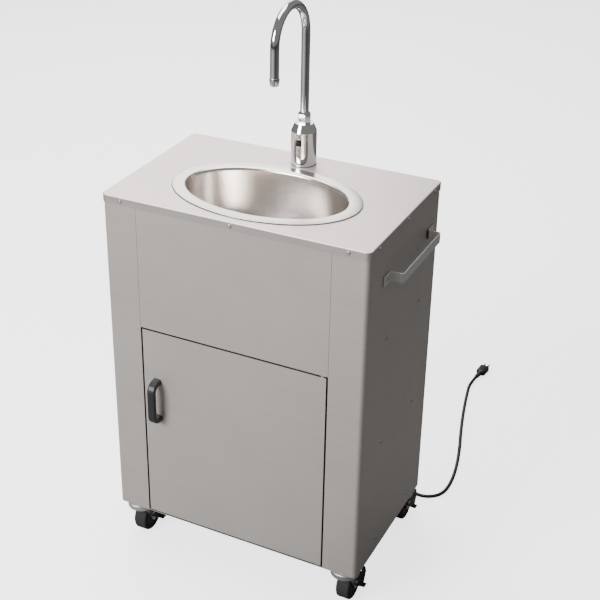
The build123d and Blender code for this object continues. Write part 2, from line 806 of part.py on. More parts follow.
def neck_nut():
    """The hexagonal nut round the spout's foot, bevelled at its top."""
    top = body_top + neck_nut_h
    corner_r = neck_nut_across / 2 / cos(radians(30))
    nut = hex_bar(0, faucet_y, body_top, top, neck_nut_across)
    bevel = rod((0, faucet_y, body_top), (0, 0, 1), corner_r, neck_nut_h - neck_nut_bevel)
    shoulder = (0, faucet_y, top - neck_nut_bevel)
    bevel += cone(shoulder, (0, 0, 1), corner_r, corner_r - neck_nut_bevel, neck_nut_bevel)
    return (nut & bevel) - rod((0, faucet_y, body_top - 1), (0, 0, 1), spout_r + running_fit, far)


def gooseneck():
    """The spout: a round tube that rises, turns over in a half circle and points down."""
    foot = body_top - spout_engage
    bend_z = deck_height + spout_bend_z
    riser = Line((0, faucet_y, foot), (0, faucet_y, bend_z))
    crest = (0, faucet_y - spout_bend_r, bend_z + spout_bend_r)
    over = ThreePointArc((0, faucet_y, bend_z), crest, (0, outlet_y, bend_z))
    fall = Line((0, outlet_y, bend_z), (0, outlet_y, deck_height + spout_end_z))
    section = Circle(spout_r) - Circle(spout_r - spout_wall)
    return sweep(Plane(origin=(0, faucet_y, foot), z_dir=(0, 0, 1)) * section, path=riser + over + fall)


def aerator():
    """The outlet tip: a short cup round the spout's end, tapering to the mouth."""
    end = deck_height + spout_end_z
    tip = cone((0, outlet_y, end), (0, 0, -1), aerator_r, aerator_tip_r, aerator_length)
    cup = rod((0, outlet_y, end), (0, 0, 1), aerator_r, aerator_cup)
    cup -= rod((0, outlet_y, end), (0, 0, 1), spout_r, aerator_cup)
    return tip + cup - rod((0, outlet_y, end + 1), (0, 0, -1), aerator_bore_r, aerator_length + 2)


# ---------------------------------------------------------------- water gear
def tank(x):
    """A moulded water tank with a round filling neck."""
    half = tank_width / 2
    body = block(x - half, x + half, -tank_depth / 2, tank_depth / 2, pan_top, pan_top + tank_height)
    body = fillet(body.edges().filter_by(Axis.Z), tank_corner)
    body = fillet(body.edges().group_by(Axis.Z)[-1], tank_corner / 2)
    neck = rod((x, tank_cap_y, pan_top + tank_height), (0, 0, 1), tank_neck_r, tank_neck_h)
    return body + neck


def tank_cap(x):
    """A screw cap with grip flats round its rim."""
    z = tank_cap_top - tank_cap_h
    cap = rod((x, tank_cap_y, z), (0, 0, 1), tank_cap_r, tank_cap_h)
    for step in range(tank_cap_grips):
        turn = radians(360 * step / tank_cap_grips)
        notch_x = x + tank_cap_r * cos(turn)
        notch_y = tank_cap_y + tank_cap_r * sin(turn)
        cap -= rod((notch_x, notch_y, z), (0, 0, 1), tank_cap_grip_r, tank_cap_h - tank_cap_brim)
    return cap


def water_heater():
    """A small upright heater on a saddle against the back panel, with two ports."""
    body = rod((heater_x, heater_y, heater_z), (0, 0, 1), heater_r, heater_height)
    body = fillet(body.edges().filter_by(GeomType.CIRCLE), heater_round)
    saddle_z = heater_z + saddle_low
    x0, x1 = heater_x - saddle_half, heater_x + saddle_half
    saddle = block(x0, x1, heater_y, back_inner_y, saddle_z, saddle_z + saddle_height)
    saddle -= rod((heater_x, heater_y, heater_z), (0, 0, 1), heater_r - 1, heater_height)
    body += saddle
    body += rod((heater_x, heater_y, heater_top - 1), (0, 0, 1), port_r, port_length + 1)
    return body + rod((heater_x + heater_r - 4, heater_y, pump_z), (1, 0, 0), port_r, port_length + 4)


def pump():
    """A small motor pump on a foot against the back panel, with two ports."""
    x0 = pump_x - pump_length / 2
    body = rod((x0, pump_y, pump_z), (1, 0, 0), pump_r, pump_length)
    body = fillet(body.edges().filter_by(GeomType.CIRCLE), pump_round)
    rise = pump_foot_half_height
    foot_x0, foot_x1 = pump_x - pump_foot_half, pump_x + pump_foot_half
    body += block(foot_x0, foot_x1, pump_y, back_inner_y, pump_z - rise, pump_z + rise)
    body += rod((x0 + 2, pump_y, pump_z), (-1, 0, 0), port_r, port_length + 2)
    return body + rod((pump_x, pump_y - pump_r + 4, pump_z), (0, -1, 0), port_r, port_length + 4)


def supply_hoses():
    """The three water hoses: tank to pump, pump to heater, heater to faucet."""
    inlet_y = pump_y - pump_r - port_length
    rise = pump_z - tank_cap_top
    run = inlet_y - tank_cap_y
    suction = [
        (tank_x, tank_cap_y, tank_cap_top),
        (tank_x, tank_cap_y, tank_cap_top + rise * 0.6),
        (tank_x + (pump_x - tank_x) * 0.3, tank_cap_y + run * 0.3, pump_z),
        (pump_x, tank_cap_y + run * 0.7, pump_z),
        (pump_x, inlet_y, pump_z),
    ]
    pump_out = pump_x - pump_length / 2 - port_length
    heater_in = heater_x + heater_r + port_length
    span = pump_out - heater_in
    cold = [
        (pump_out, pump_y, pump_z),
        (pump_out - span * 0.25, pump_y, pump_z),
        (heater_in + span * 0.25, heater_y, pump_z),
        (heater_in, heater_y, pump_z),
    ]
    heater_out = heater_top + port_length
    shank_end = body_bottom - shank_length
    lift = shank_end - heater_out
    warm = [
        (heater_x, heater_y, heater_out),
        (heater_x, heater_y, heater_out + lift * 0.33),
        (heater_x * 0.8, heater_y + (faucet_y - heater_y) * 0.2, heater_out + lift * 0.56),
        (heater_x * 0.27, heater_y + (faucet_y - heater_y) * 0.8, heater_out + lift * 0.56),
        (0, faucet_y, heater_out + lift * 0.74),
        (0, faucet_y, shank_end),
    ]
    return [bent_tube(points, hose_r, hose_wall) for points in (suction, cold, warm)]


def control_box():
    """The sensor's control box on the back panel."""
    box = block(
        control_x - control_width / 2,
        control_x + control_width / 2,
        back_inner_y - control_depth,
        back_inner_y,
        control_z,
        control_z + control_height,
    )
    return fillet(box.faces().sort_by(Axis.Y)[0].edges(), control_round)


# ---------------------------------------------------------------- cord
def cord_gland():
    """The strain relief on the back: a flange and a boot that tapers to the cord."""
    gland = rod((gland_x, back_outer_y, gland_z), (0, 1, 0), gland_flange_r, gland_flange_h)
    gland = fillet(gland.edges().group_by(Axis.Y)[-1], gland_round)
    thread_y = back_inner_y - gland_thread
    gland += rod((gland_x, thread_y, gland_z), (0, 1, 0), gland_root_r, panel_sheet + gland_thread)
    start = (gland_x, back_outer_y + gland_flange_h, gland_z)
    return gland + cone(start, (0, 1, 0), gland_root_r, gland_tip_r, gland_boot)


def power_cord():
    """The free mains cord, a round tube along its route; prints its bend radii and its length."""
    tube = bent_tube(cord_route, cord_r)
    radii = bend_radii(cord_route)
    length = FilletPolyline(*cord_route, radius=radii).length
    print("cord radii", [round(radius, 1) for radius in radii])
    print("cord length", round(length, 1))
    print("tube volume over section times length", round(tube.volume / Circle(cord_r).area / length, 5))
    return tube


def power_plug():
    """The moulded three-pin plug lying on the floor, with its tapered tail towards the cord."""
    body = Pos(plug_nose + plug_length / 2, 0, 0) * Box(plug_length, plug_width, plug_height)
    body = fillet(body.edges().filter_by(Axis.X), plug_round)
    return plug_frame * (body + cone((0, 0, 0), (1, 0, 0), gland_tip_r, plug_nose_root_r, plug_nose))


def plug_blades():
    """The plug's two flat blades and its round earth pin."""
    face = plug_nose + plug_length
    pins = []
    for side in (-1, 1):
        blade = Box(blade_length, blade_thick, blade_height)
        middle = Pos(face + blade_length / 2, side * blade_half_spacing, blade_rise)
        pins.append(plug_frame * (middle * blade))
    pins.append(plug_frame * rod((face, 0, -earth_pin_drop), (1, 0, 0), earth_pin_r, earth_pin_length))
    return pins


# ---------------------------------------------------------------- casters
def caster_stem():
    """The fixed half of a caster: the stem, its upper race and the king pin with its head."""
    stem = rod((0, 0, cabinet_bottom), (0, 0, 1), king_pin_r, stem_length)
    race = rod((0, 0, race_bottom), (0, 0, 1), race_r, race_height)
    race = fillet(race.edges().group_by(Axis.Z)[0], race_round)
    head_top = crown_bottom - race_gap
    pin = rod((0, 0, head_top), (0, 0, 1), king_pin_r, race_bottom - head_top)
    return stem + race + pin + rod((0, 0, head_top - king_head_h), (0, 0, 1), king_head_r, king_head_h)


def stem_nut():
    """The nut that holds a stem, on top of the base pan."""
    nut = hex_bar(0, 0, pan_top, pan_top + stem_nut_h, stem_nut_across)
    return nut - rod((0, 0, pan_top - 1), (0, 0, 1), king_pin_r, stem_nut_h + 2)


def yoke():
    """The swivelling fork: a round crown, two legs down to the axle and a stud for the brake."""
    crown = rod((0, 0, crown_bottom), (0, 0, 1), crown_r, crown_height)
    crown = fillet(crown.edges().filter_by(GeomType.CIRCLE), crown_round)
    fork = crown
    leg_top = crown_bottom + fork_sheet
    leg_outline = [
        (-fork_front, leg_top),
        (fork_rear, leg_top),
        (wheel_trail + hub_boss_r, wheel_r),
        (wheel_trail - hub_boss_r, wheel_r),
    ]
    for x0, x1 in ((-fork_outer, -fork_inner), (fork_inner, fork_outer)):
        fork += side_plate(leg_outline, x0, x1)
        fork += rod((x0, wheel_trail, wheel_r), (1, 0, 0), hub_boss_r, fork_sheet)
    stud_length = brake_outer + brake_stud_proud - fork_outer
    fork += rod((fork_outer, brake_pivot_y, brake_pivot_z), (1, 0, 0), brake_stud_r, stud_length)
    fork -= rod((0, 0, crown_bottom - 1), (0, 0, 1), king_pin_r + running_fit, crown_height + 2)
    return fork - rod((-far / 2, wheel_trail, wheel_r), (1, 0, 0), axle_r, far)


def tyre():
    """The rubber tread, rounded at its shoulders."""
    start = (-tyre_width / 2, wheel_trail, wheel_r)
    tread = fillet(rod(start, (1, 0, 0), wheel_r, tyre_width).edges().filter_by(GeomType.CIRCLE), tyre_round)
    return tread - rod(start, (1, 0, 0), hub_r, tyre_width)


def hub():
    """The wheel's core with a boss on each side, bored to run on the axle."""
    core = rod((-hub_width / 2, wheel_trail, wheel_r), (1, 0, 0), hub_r, hub_width)
    boss_half = fork_inner - race_gap
    core += rod((-boss_half, wheel_trail, wheel_r), (1, 0, 0), hub_boss_r, 2 * boss_half)
    bore = (-boss_half - 1, wheel_trail, wheel_r)
    return core - rod(bore, (1, 0, 0), axle_r + running_fit, 2 * boss_half + 2)


def axle():
    """The wheel's axle bolt, with a round head outside each leg."""
    bolt = rod((-fork_outer, wheel_trail, wheel_r), (1, 0, 0), axle_r, 2 * fork_outer)
    for side in (-1, 1):
        head = rod((side * fork_outer, wheel_trail, wheel_r), (side, 0, 0), axle_head_r, axle_head_h)
        outer = head.edges().filter_by(GeomType.CIRCLE).sort_by(Axis.X)[0 if side < 0 else -1]
        bolt += fillet(outer, 1.2)
    return bolt


def brake():
    """A side brake: a lever plate on the stud, a foot tab and a shoe over the tread's rear."""
    low, high = radians(brake_shoe_low), radians(brake_shoe_high)
    inner = wheel_r + brake_shoe_gap
    outer = inner + brake_shoe_thick
    centre_y, centre_z = wheel_trail, wheel_r
    tab_y0 = wheel_trail + brake_tab_back
    tab_y1 = tab_y0 + brake_tab_length
    plate_outline = [
        (brake_pivot_y - brake_head, brake_pivot_z - brake_chin),
        (brake_pivot_y - brake_head, brake_pivot_z + brake_head),
        (centre_y + outer * cos(high), centre_z + outer * sin(high)),
        (centre_y + outer * cos(low), centre_z + outer * sin(low)),
        (tab_y1, brake_tab_z),
        (tab_y0, brake_tab_z),
    ]
    lever = side_plate(plate_outline, brake_inner, brake_outer)
    lever = fillet(lever.edges().filter_by(Axis.X).group_by(Axis.Y)[0], brake_head / 2)
    wedge = [
        (centre_y, centre_z),
        (centre_y + 2 * outer * cos(low), centre_z + 2 * outer * sin(low)),
        (centre_y + 2 * outer * cos(high), centre_z + 2 * outer * sin(high)),
    ]
    arc = side_plate(wedge, brake_shoe_inset - tyre_width / 2, brake_inner)
    ring = rod((-tyre_width, centre_y, centre_z), (1, 0, 0), outer, 3 * tyre_width)
    ring -= rod((-tyre_width, centre_y, centre_z), (1, 0, 0), inner, 3 * tyre_width)
    lever += arc & ring
    tab_x = brake_outer + brake_tab
    lever += block(brake_inner, tab_x, tab_y0, tab_y1, brake_tab_z, brake_tab_z + brake_sheet)
    bore = (brake_inner - 1, brake_pivot_y, brake_pivot_z)
    return lever - rod(bore, (1, 0, 0), brake_stud_r + running_fit, brake_sheet + 2)


# ---------------------------------------------------------------- writing the sub-parts
def main():
    os.makedirs("parts", exist_ok=True)
    save("top_deck", top_deck())
    save("bowl", bowl())
    save("drain_strainer", drain_strainer())
    save("drain_nut", drain_nut())
    save("drain_hose", drain_hose())
    save("left_side_panel", side_panel(-1))
    save("right_side_panel", side_panel(1))
    save("front_apron", front_apron())
    save("back_panel", back_panel())
    save("base_pan", base_pan())
    save("frame_posts", *[frame_post(side, y) for side in (-1, 1) for y in (post_front_y, post_rear_y)])
    save("grab_handle", grab_handle())
    screws = [pan_screw(seat, outward) for seat, outward in screw_places()]
    save("panel_screws", *screws, *[rivet(seat, outward) for seat, outward in rivet_places])
    save("door_catch", door_catch())
    save("door_skin", door_skin())
    save("door_liner", door_liner())
    save("door_pull", door_pull())
    save("pull_screws", *pull_screws())
    save("hinge_pins", *hinge_pins())
    save("faucet_body", faucet_body())
    save("faucet_gasket", faucet_gasket_ring())
    save("sensor_window", sensor_window())
    save("faucet_shank", faucet_shank())
    save("shank_nut", shank_nut())
    save("neck_nut", neck_nut())
    save("gooseneck", gooseneck())
    save("aerator", aerator())
    save("fresh_tank", tank(tank_x))
    save("waste_tank", tank(-tank_x))
    save("tank_caps", tank_cap(tank_x), tank_cap(-tank_x))
    save("water_heater", water_heater())
    save("pump", pump())
    save("supply_hoses", *supply_hoses())
    save("control_box", control_box())
    save("cord_gland", cord_gland())
    save("power_cord", power_cord())
    save("power_plug", power_plug())
    save("plug_blades", *plug_blades())
    save("caster_stems", *[Pos(x, y, 0) * caster_stem() for x, y in caster_places.values()])
    save("stem_nuts", *[Pos(x, y, 0) * stem_nut() for x, y in caster_places.values()])
    for corner, (x, y) in caster_places.items():
        for piece in (yoke, tyre, hub, axle, brake):
            save(piece.__name__ + "_" + corner, Pos(x, y, 0) * piece())


main()
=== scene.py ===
"""The looks of a portable handwash sink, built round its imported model, as a Blender add-on.

Each operator makes one piece, or one group of like pieces, and rides it on the body that moves it.
"""
import json

import bmesh
import bpy
import numpy as np
from bpy.props import FloatProperty, FloatVectorProperty, IntProperty, PointerProperty
from bpy.types import Operator, Panel, PropertyGroup
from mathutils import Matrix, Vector


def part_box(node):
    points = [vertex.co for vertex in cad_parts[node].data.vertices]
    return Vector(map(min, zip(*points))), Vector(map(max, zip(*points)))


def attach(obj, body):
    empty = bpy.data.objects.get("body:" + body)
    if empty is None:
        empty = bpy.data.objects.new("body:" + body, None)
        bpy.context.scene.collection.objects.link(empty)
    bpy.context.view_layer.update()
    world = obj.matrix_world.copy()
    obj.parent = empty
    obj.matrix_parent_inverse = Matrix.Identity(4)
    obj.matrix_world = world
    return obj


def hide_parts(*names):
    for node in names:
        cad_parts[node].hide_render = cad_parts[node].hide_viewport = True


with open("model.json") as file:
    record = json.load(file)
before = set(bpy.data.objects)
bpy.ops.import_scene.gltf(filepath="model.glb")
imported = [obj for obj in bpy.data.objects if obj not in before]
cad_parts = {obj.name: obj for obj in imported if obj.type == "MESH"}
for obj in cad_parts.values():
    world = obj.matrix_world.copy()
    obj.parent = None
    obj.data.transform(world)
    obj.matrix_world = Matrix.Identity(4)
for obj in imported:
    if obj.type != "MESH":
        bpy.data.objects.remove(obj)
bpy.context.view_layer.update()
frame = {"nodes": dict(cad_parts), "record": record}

bl_info = {
    "name": "Portable Handwash Sink",
    "version": (1, 0, 0),
    "blender": (4, 5, 0),
    "location": "View3D > Sidebar > Handwash Sink",
    "description": "Adds the finishes and the fine pieces of a portable handwash sink",
    "category": "Object",
}

QUARTER = np.pi / 2
SKIN_DEPTH = 0.0002  # height of every fine surface pattern

# The mains cord's route, in metres, from the tip of its boot to the tail of its plug.
CORD_ROUTE = [
    (0.150, 0.2296, 0.130),
    (0.150, 0.272, 0.130),
    (0.158, 0.306, 0.102),
    (0.172, 0.318, 0.058),
    (0.200, 0.308, 0.020),
    (0.240, 0.283, 0.0045),
    (0.286, 0.268, 0.0045),
    (0.325, 0.290, 0.0045),
    (0.336, 0.335, 0.0045),
    (0.328, 0.412, 0.0045),
    (0.306, 0.504, 0.0045),
    (0.277, 0.599, 0.0045),
    (0.252, 0.695, 0.0045),
    (0.235, 0.770, 0.0045),
    (0.226, 0.818, 0.0095),
    (0.231, 0.862, 0.0095),
]


# ------------------------------------------------------------------ sizes and colours
def colour(name, description, value):
    """A colour that a user can change."""
    return FloatVectorProperty(
        name=name, description=description, default=value, subtype="COLOR", size=3, min=0.0, max=1.0
    )


def length(name, description, value):
    """A length in metres that a user can change."""
    return FloatProperty(
        name=name, description=description, default=value, unit="LENGTH", precision=4, min=0.0
    )


def amount(name, description, value, **limits):
    """A plain number that a user can change, not below zero unless its limits say so."""
    return FloatProperty(name=name, description=description, default=value, **{"min": 0.0, **limits})


class SteelSettings(PropertyGroup):
    deck_colour: colour("Deck Colour", "Base colour of the deck", (1.0, 0.87, 0.83))
    panel_colour: colour("Panel Colour", "Base colour of the panels and the door", (0.63, 0.585, 0.55))
    bowl_colour: colour("Bowl Colour", "Base colour of the satin bowl", (0.93, 0.875, 0.83))
    handle_colour: colour("Handle Colour", "Base colour of the grab handle", (0.86, 0.83, 0.80))
    zinc_colour: colour("Zinc Colour", "Base colour of the casters' plated steel", (0.66, 0.65, 0.62))
    panel_roughness: amount("Panel Roughness", "How matte the brushed panels are", 0.42, max=1.0)


class BowlSettings(PropertyGroup):
    sheet: length("Sheet", "Thickness of the bowl's steel", 0.0012)
    brow_length: length("Brow Length", "Rim to crest at the bowl's ends", 0.027)
    brow_width: length("Brow Width", "Rim to crest at the bowl's front and back", 0.023)
    throat: length("Throat", "Crest to mouth, all round", 0.005)
    rim_edge: length("Rim Edge", "Height of the rim's outer edge", 0.002)
    crest_rise: length("Crest Rise", "Deck to the crest", 0.0032)
    mouth_drop: length("Mouth Drop", "Deck down to the mouth", 0.001)
    depth: length("Depth", "Mouth down to the floor", 0.142)
    floor_length: length("Floor Length", "Half length of the flat floor", 0.072)
    floor_width: length("Floor Width", "Half width of the flat floor", 0.044)
    # Painted shade: the seal is a dark bead that stands for the shadow line under the rim's edge.
    shade_seal: length("Seal", "Width of the dark seal round the rim", 0.0018)
    drain_radius: length("Drain Radius", "Radius of the drain hole", 0.020)
    squareness: amount("Squareness", "Lower squares the wall's turn into the floor", 0.72, min=0.3, max=1.0)


class HandleSettings(PropertyGroup):
    bar_thickness: length("Bar Thickness", "Thickness of the grab handle's flat bar", 0.003)
    bar_foot: length("Bar Foot", "Length of each foot of the grab handle", 0.034)
    bar_bend: length("Bar Bend", "Reach of each bend of the grab handle", 0.005)
    pull_bar: length("Pull Bar", "Thickness of the door pull's bar", 0.010)
    pull_foot: length("Pull Foot", "Height of each foot of the door pull", 0.015)
    pull_bevel: length("Pull Bevel", "Reach of the door pull's bevelled corners", 0.010)
    pull_colour: colour("Pull Colour", "Colour of the moulded door pull", (0.022, 0.023, 0.026))


class FaucetSettings(PropertyGroup):
    cup: length("Cup", "Height of the outlet cup over the spout's end", 0.003)
    tip_radius: length("Tip Radius", "Radius of the outlet's mouth", 0.0086)
    bore_radius: length("Bore Radius", "Radius of the outlet's bore", 0.006)
    screen_depth: length("Screen Depth", "Mouth up to the screen inside the outlet", 0.003)
    chrome_colour: colour("Chrome Colour", "Base colour of the polished chrome", (0.86, 0.87, 0.88))


class CordSettings(PropertyGroup):
    diameter: length("Diameter", "Diameter of the mains cord", 0.009)
    real_length: length("Length", "Length of the mains cord from boot to plug", 0.895)
    boot_root: length("Boot Root", "Radius of the boot where it meets its flange", 0.0085)
    boot_tip: length("Boot Tip", "Radius of the boot's tip", 0.0056)
    boot_length: length("Boot Length", "Length of the tapered boot", 0.034)
    flange_height: length("Flange Height", "Height of the gland's flange", 0.004)
    ribs: IntProperty(name="Ribs", description="Ribs along the boot", default=6, min=0, max=12)
    boot_groove: length("Boot Groove", "Depth of the grooves between the boot's ribs", 0.0011)
    stub_radius: length("Stub Radius", "Radius of the gland inside the back panel", 0.0084)
    nose_length: length("Nose Length", "Length of the plug's tapered tail", 0.024)
    plug_length: length("Plug Length", "Length of the plug's body", 0.036)
    plug_width: length("Plug Width", "Width of the plug's body", 0.027)
    plug_height: length("Plug Height", "Height of the plug's body", 0.019)
    tail_groove: length("Tail Groove", "Depth of the grooves along the plug's tail", 0.0009)
    jacket_colour: colour("Jacket Colour", "Colour of the cord's jacket", (0.012, 0.012, 0.013))


class TankSettings(PropertyGroup):
    ribs: IntProperty(name="Ribs", description="Moulded ribs round each tank", default=5, min=0, max=12)
    rib_depth: length("Rib Depth", "How deep the grooves between ribs are", 0.0035)
    foot_radius: length("Foot Radius", "Radius round the bottom of each tank", 0.008)
    brow_radius: length("Brow Radius", "Radius round the top of each tank", 0.012)
    first_rib: length("First Rib", "Bottom of each tank to where its ribs begin", 0.040)
    ribs_short: length("Ribs Short", "Height of each tank that has no ribs", 0.090)
    corner_radius: length("Corner Radius", "Reach of each tank's upright corners", 0.027)
    hose_pitch: length("Hose Pitch", "Distance between the rings of the waste hose", 0.005)
    hose_ripple: length("Hose Ripple", "Depth of the grooves of the waste hose", 0.0022)
    neck_radius: length("Neck Radius", "Radius of each tank's neck", 0.027)
    neck_height: length("Neck Height", "Height of each tank's neck", 0.010)
    plastic_colour: colour("Plastic Colour", "Colour of the tanks' plastic", (0.74, 0.77, 0.80))
    cap_colour: colour("Cap Colour", "Colour of the tanks' caps", (0.03, 0.11, 0.33))


class StageSettings(PropertyGroup):
    lens: amount("Lens", "Focal length of the camera", 75.57, min=10, unit="CAMERA")
    shift: FloatVectorProperty(
        name="Shift", description="Sideways and upward shift of the camera", default=(0.0747, -0.036), size=2
    )
    camera_place: FloatVectorProperty(
        name="Camera Place",
        description="Where the camera stands",
        default=(1.088, -2.179, 1.969),
        subtype="TRANSLATION",
    )
    camera_turn: FloatVectorProperty(
        name="Camera Turn",
        description="How the camera is turned",
        default=(1.0842, 0.0, 0.4789),
        subtype="EULER",
    )
    floor_colour: colour("Floor Colour", "Colour of the plain floor", (0.93, 0.93, 0.925))
    floor_bounce: amount("Floor Bounce", "How much of its paleness the floor gives back", 0.22, max=1.0)
    floor_lift: amount("Floor Lift", "Light that the floor gives to the camera alone", 2.4)
    world_strength: amount("World Light", "Strength of the even light", 0.22)
    key_power: amount("Key Light", "Power of the front left light", 330.0)
    back_power: amount("Back Light", "Power of the light behind", 60.0)
    top_power: amount("Top Light", "Power of the overhead light", 110.0)


GROUPS = {
    "sink_steel": SteelSettings,
    "sink_bowl": BowlSettings,
    "sink_handles": HandleSettings,
    "sink_faucet": FaucetSettings,
    "sink_cord": CordSettings,
    "sink_tanks": TankSettings,
    "sink_stage": StageSettings,
}


# ------------------------------------------------------------------ curves and surfaces
def eased(points, reach, steps=8):
    """Rounds the inner corners of a line of points. Each corner P becomes the quadratic curve
    (1-s)^2 A + 2s(1-s) P + s^2 B, where A and B lie `reach` before and after P."""
    points = np.asarray(points, float)
    reach = np.broadcast_to(reach, len(points) - 2)[:, None]
    corner = points[1:-1]
    back = points[:-2] - corner
    ahead = points[2:] - corner
    a = corner + back * np.minimum(reach / np.linalg.norm(back, axis=1, keepdims=True), 0.5)
    b = corner + ahead * np.minimum(reach / np.linalg.norm(ahead, axis=1, keepdims=True), 0.5)
    s = np.linspace(0, 1, steps + 1)[None, :, None]
    curve = (1 - s) ** 2 * a[:, None] + 2 * s * (1 - s) * corner[:, None] + s**2 * b[:, None]
    return np.concatenate([points[:1], curve.reshape(-1, points.shape[1]), points[-1:]])


def resampled(line, count):
    """Points evenly spaced by distance along a line, found by linear interpolation."""
    along = np.concatenate([[0], np.cumsum(np.linalg.norm(np.diff(line, axis=0), axis=1))])
    at = np.linspace(0, along[-1], count)
    return np.stack([np.interp(at, along, column) for column in line.T], axis=1), at


def rounded_section(width, height, reach, steps=5):
    """A rectangle about its middle whose four corners are eased, as points (across, up)."""
    x, y = width / 2, height / 2
    ring = [(0, -y), (x, -y), (x, y), (-x, y), (-x, -y), (0, -y)]
    return eased(ring, reach, steps)[:-1]


def circle_section(radius, count=48):
    """A circle about its middle: radius times (cos t, sin t)."""
    t = np.linspace(0, 2 * np.pi, count, endpoint=False)
    return radius * np.stack([np.cos(t), np.sin(t)], axis=1)


def carried(section, path, side, scale=None):
    """A section carried along a path: each point is the path's point, plus the section's first
    value along (side x tangent), plus its second along `side`. The scale is one factor, or two,
    for each point of the path."""
    tangent = np.gradient(path, axis=0)
    tangent /= np.linalg.norm(tangent, axis=1, keepdims=True)
    side = np.asarray(side, float)
    across = np.cross(side, tangent)
    across /= np.linalg.norm(across, axis=1, keepdims=True)
    if scale is None:
        scale = np.ones((len(path), 1))
    sized = section[None] * np.reshape(scale, (len(path), 1, -1))
    return path[:, None] + sized[..., :1] * across[:, None] + sized[..., 1:] * side


def revolved(profile, centre, axis="Z", count=96):
    """A profile of (radius, height) turned about an axis through a centre."""
    t = np.linspace(0, 2 * np.pi, count, endpoint=False)
    radius, height = np.asarray(profile, float).T
    flat = [radius[:, None] * np.cos(t), radius[:, None] * np.sin(t)]
    up = np.broadcast_to(height[:, None], flat[0].shape)
    order = {"Z": [flat[0], flat[1], up], "Y": [flat[1], up, flat[0]], "X": [up, flat[0], flat[1]]}
    return np.stack(order[axis], axis=-1) + np.asarray(centre, float)


def surface(name, grid, closed_rows=False, caps=False, sharp=35.0):
    """A mesh from a grid of points, shape (rows, columns, 3). Its columns close on themselves; its
    rows do so when closed_rows is set, or else end in flat caps or in a pole. The faces are turned
    outwards, by the sign of the volume that they enclose."""
    rows, columns = grid.shape[:2]
    index = np.arange(rows * columns).reshape(rows, columns)
    if closed_rows:
        index = np.vstack([index, index[:1]])
    index = np.hstack([index, index[:, :1]])
    corners = [index[:-1, :-1], index[:-1, 1:], index[1:, 1:], index[1:, :-1]]
    faces = np.stack(corners, axis=-1).reshape(-1, 4).tolist()
    if caps:
        faces += [index[0, :-1].tolist(), index[-1, :-1][::-1].tolist()]
    mesh = bpy.data.meshes.new(name)
    mesh.from_pydata(grid.reshape(-1, 3).tolist(), [], faces)
    mesh.validate()
    return finished(name, mesh, sharp)


def finished(name, mesh, sharp):
    """Links a mesh as an object, with its doubles merged, its faces outwards and its edges smooth
    where they turn by less than `sharp` degrees."""
    work = bmesh.new()
    work.from_mesh(mesh)
    bmesh.ops.remove_doubles(work, verts=work.verts, dist=1e-6)
    if work.calc_volume(signed=True) < 0:
        bmesh.ops.reverse_faces(work, faces=work.faces)
    work.to_mesh(mesh)
    work.free()
    mesh.shade_smooth()
    mesh.set_sharp_from_angle(angle=np.radians(sharp))
    piece = bpy.data.objects.new(name, mesh)
    bpy.context.scene.collection.objects.link(piece)
    return piece


def joined(name, pieces):
    """Several pieces made one object."""
    with bpy.context.temp_override(active_object=pieces[0], selected_editable_objects=pieces):
        bpy.ops.object.join()
    pieces[0].name = name
    pieces[0].data.name = name
    return pieces[0]


def stand_for(piece, node, finish):
    """Gives a piece its finish, and puts it in the place of a CAD node, on that node's body."""
    record = frame["record"]
    body = next(name for name, nodes in record["behaviour"]["bodies"].items() if node in nodes)
    piece.data.materials.clear()
    piece.data.materials.append(finish)
    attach(piece, body)
    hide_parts(node)


def middle(node):
    """The middle of a CAD node's box."""
    low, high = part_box(node)
    return (low + high) / 2


# ------------------------------------------------------------------ shader groups
def shader_group(name, inputs, outputs):
    """An empty shader node group with its inputs and outputs, each (name, kind, default)."""
    group = bpy.data.node_groups.new(name, "ShaderNodeTree")
    for label, kind, value in inputs:
        socket = group.interface.new_socket(label, in_out="INPUT", socket_type="NodeSocket" + kind)
        if value is not None:
            socket.default_value = value
    for label, kind in outputs:
        group.interface.new_socket(label, in_out="OUTPUT", socket_type="NodeSocket" + kind)
    return group, group.nodes.new("NodeGroupInput").outputs, group.nodes.new("NodeGroupOutput").inputs


def node(tree, kind, links=(), **values):
    """Adds a shader node, sets its values, and links (input, output) pairs into it."""
    made = tree.nodes.new("ShaderNode" + kind)
    for key, value in values.items():
        setattr(made, key, value)
    for key, value in dict(links).items():
        if isinstance(value, bpy.types.NodeSocket):
            tree.links.new(value, made.inputs[key])
        else:
            made.inputs[key].default_value = value
    return made


def mapped(tree, value, low, high, new_low, new_high):
    """Maps a value from one range to another, clamped."""
    links = {"Value": value, "From Min": low, "From Max": high, "To Min": new_low, "To Max": new_high}
    return node(tree, "MapRange", links).outputs["Result"]


def blended(tree, factor, a, b):
    """Mixes two colours."""
    mix = node(tree, "Mix", data_type="RGBA")
    for key, value in ((0, factor), (6, a), (7, b)):
        if isinstance(value, bpy.types.NodeSocket):
            tree.links.new(value, mix.inputs[key])
        else:
            mix.inputs[key].default_value = value
    return mix.outputs[2]


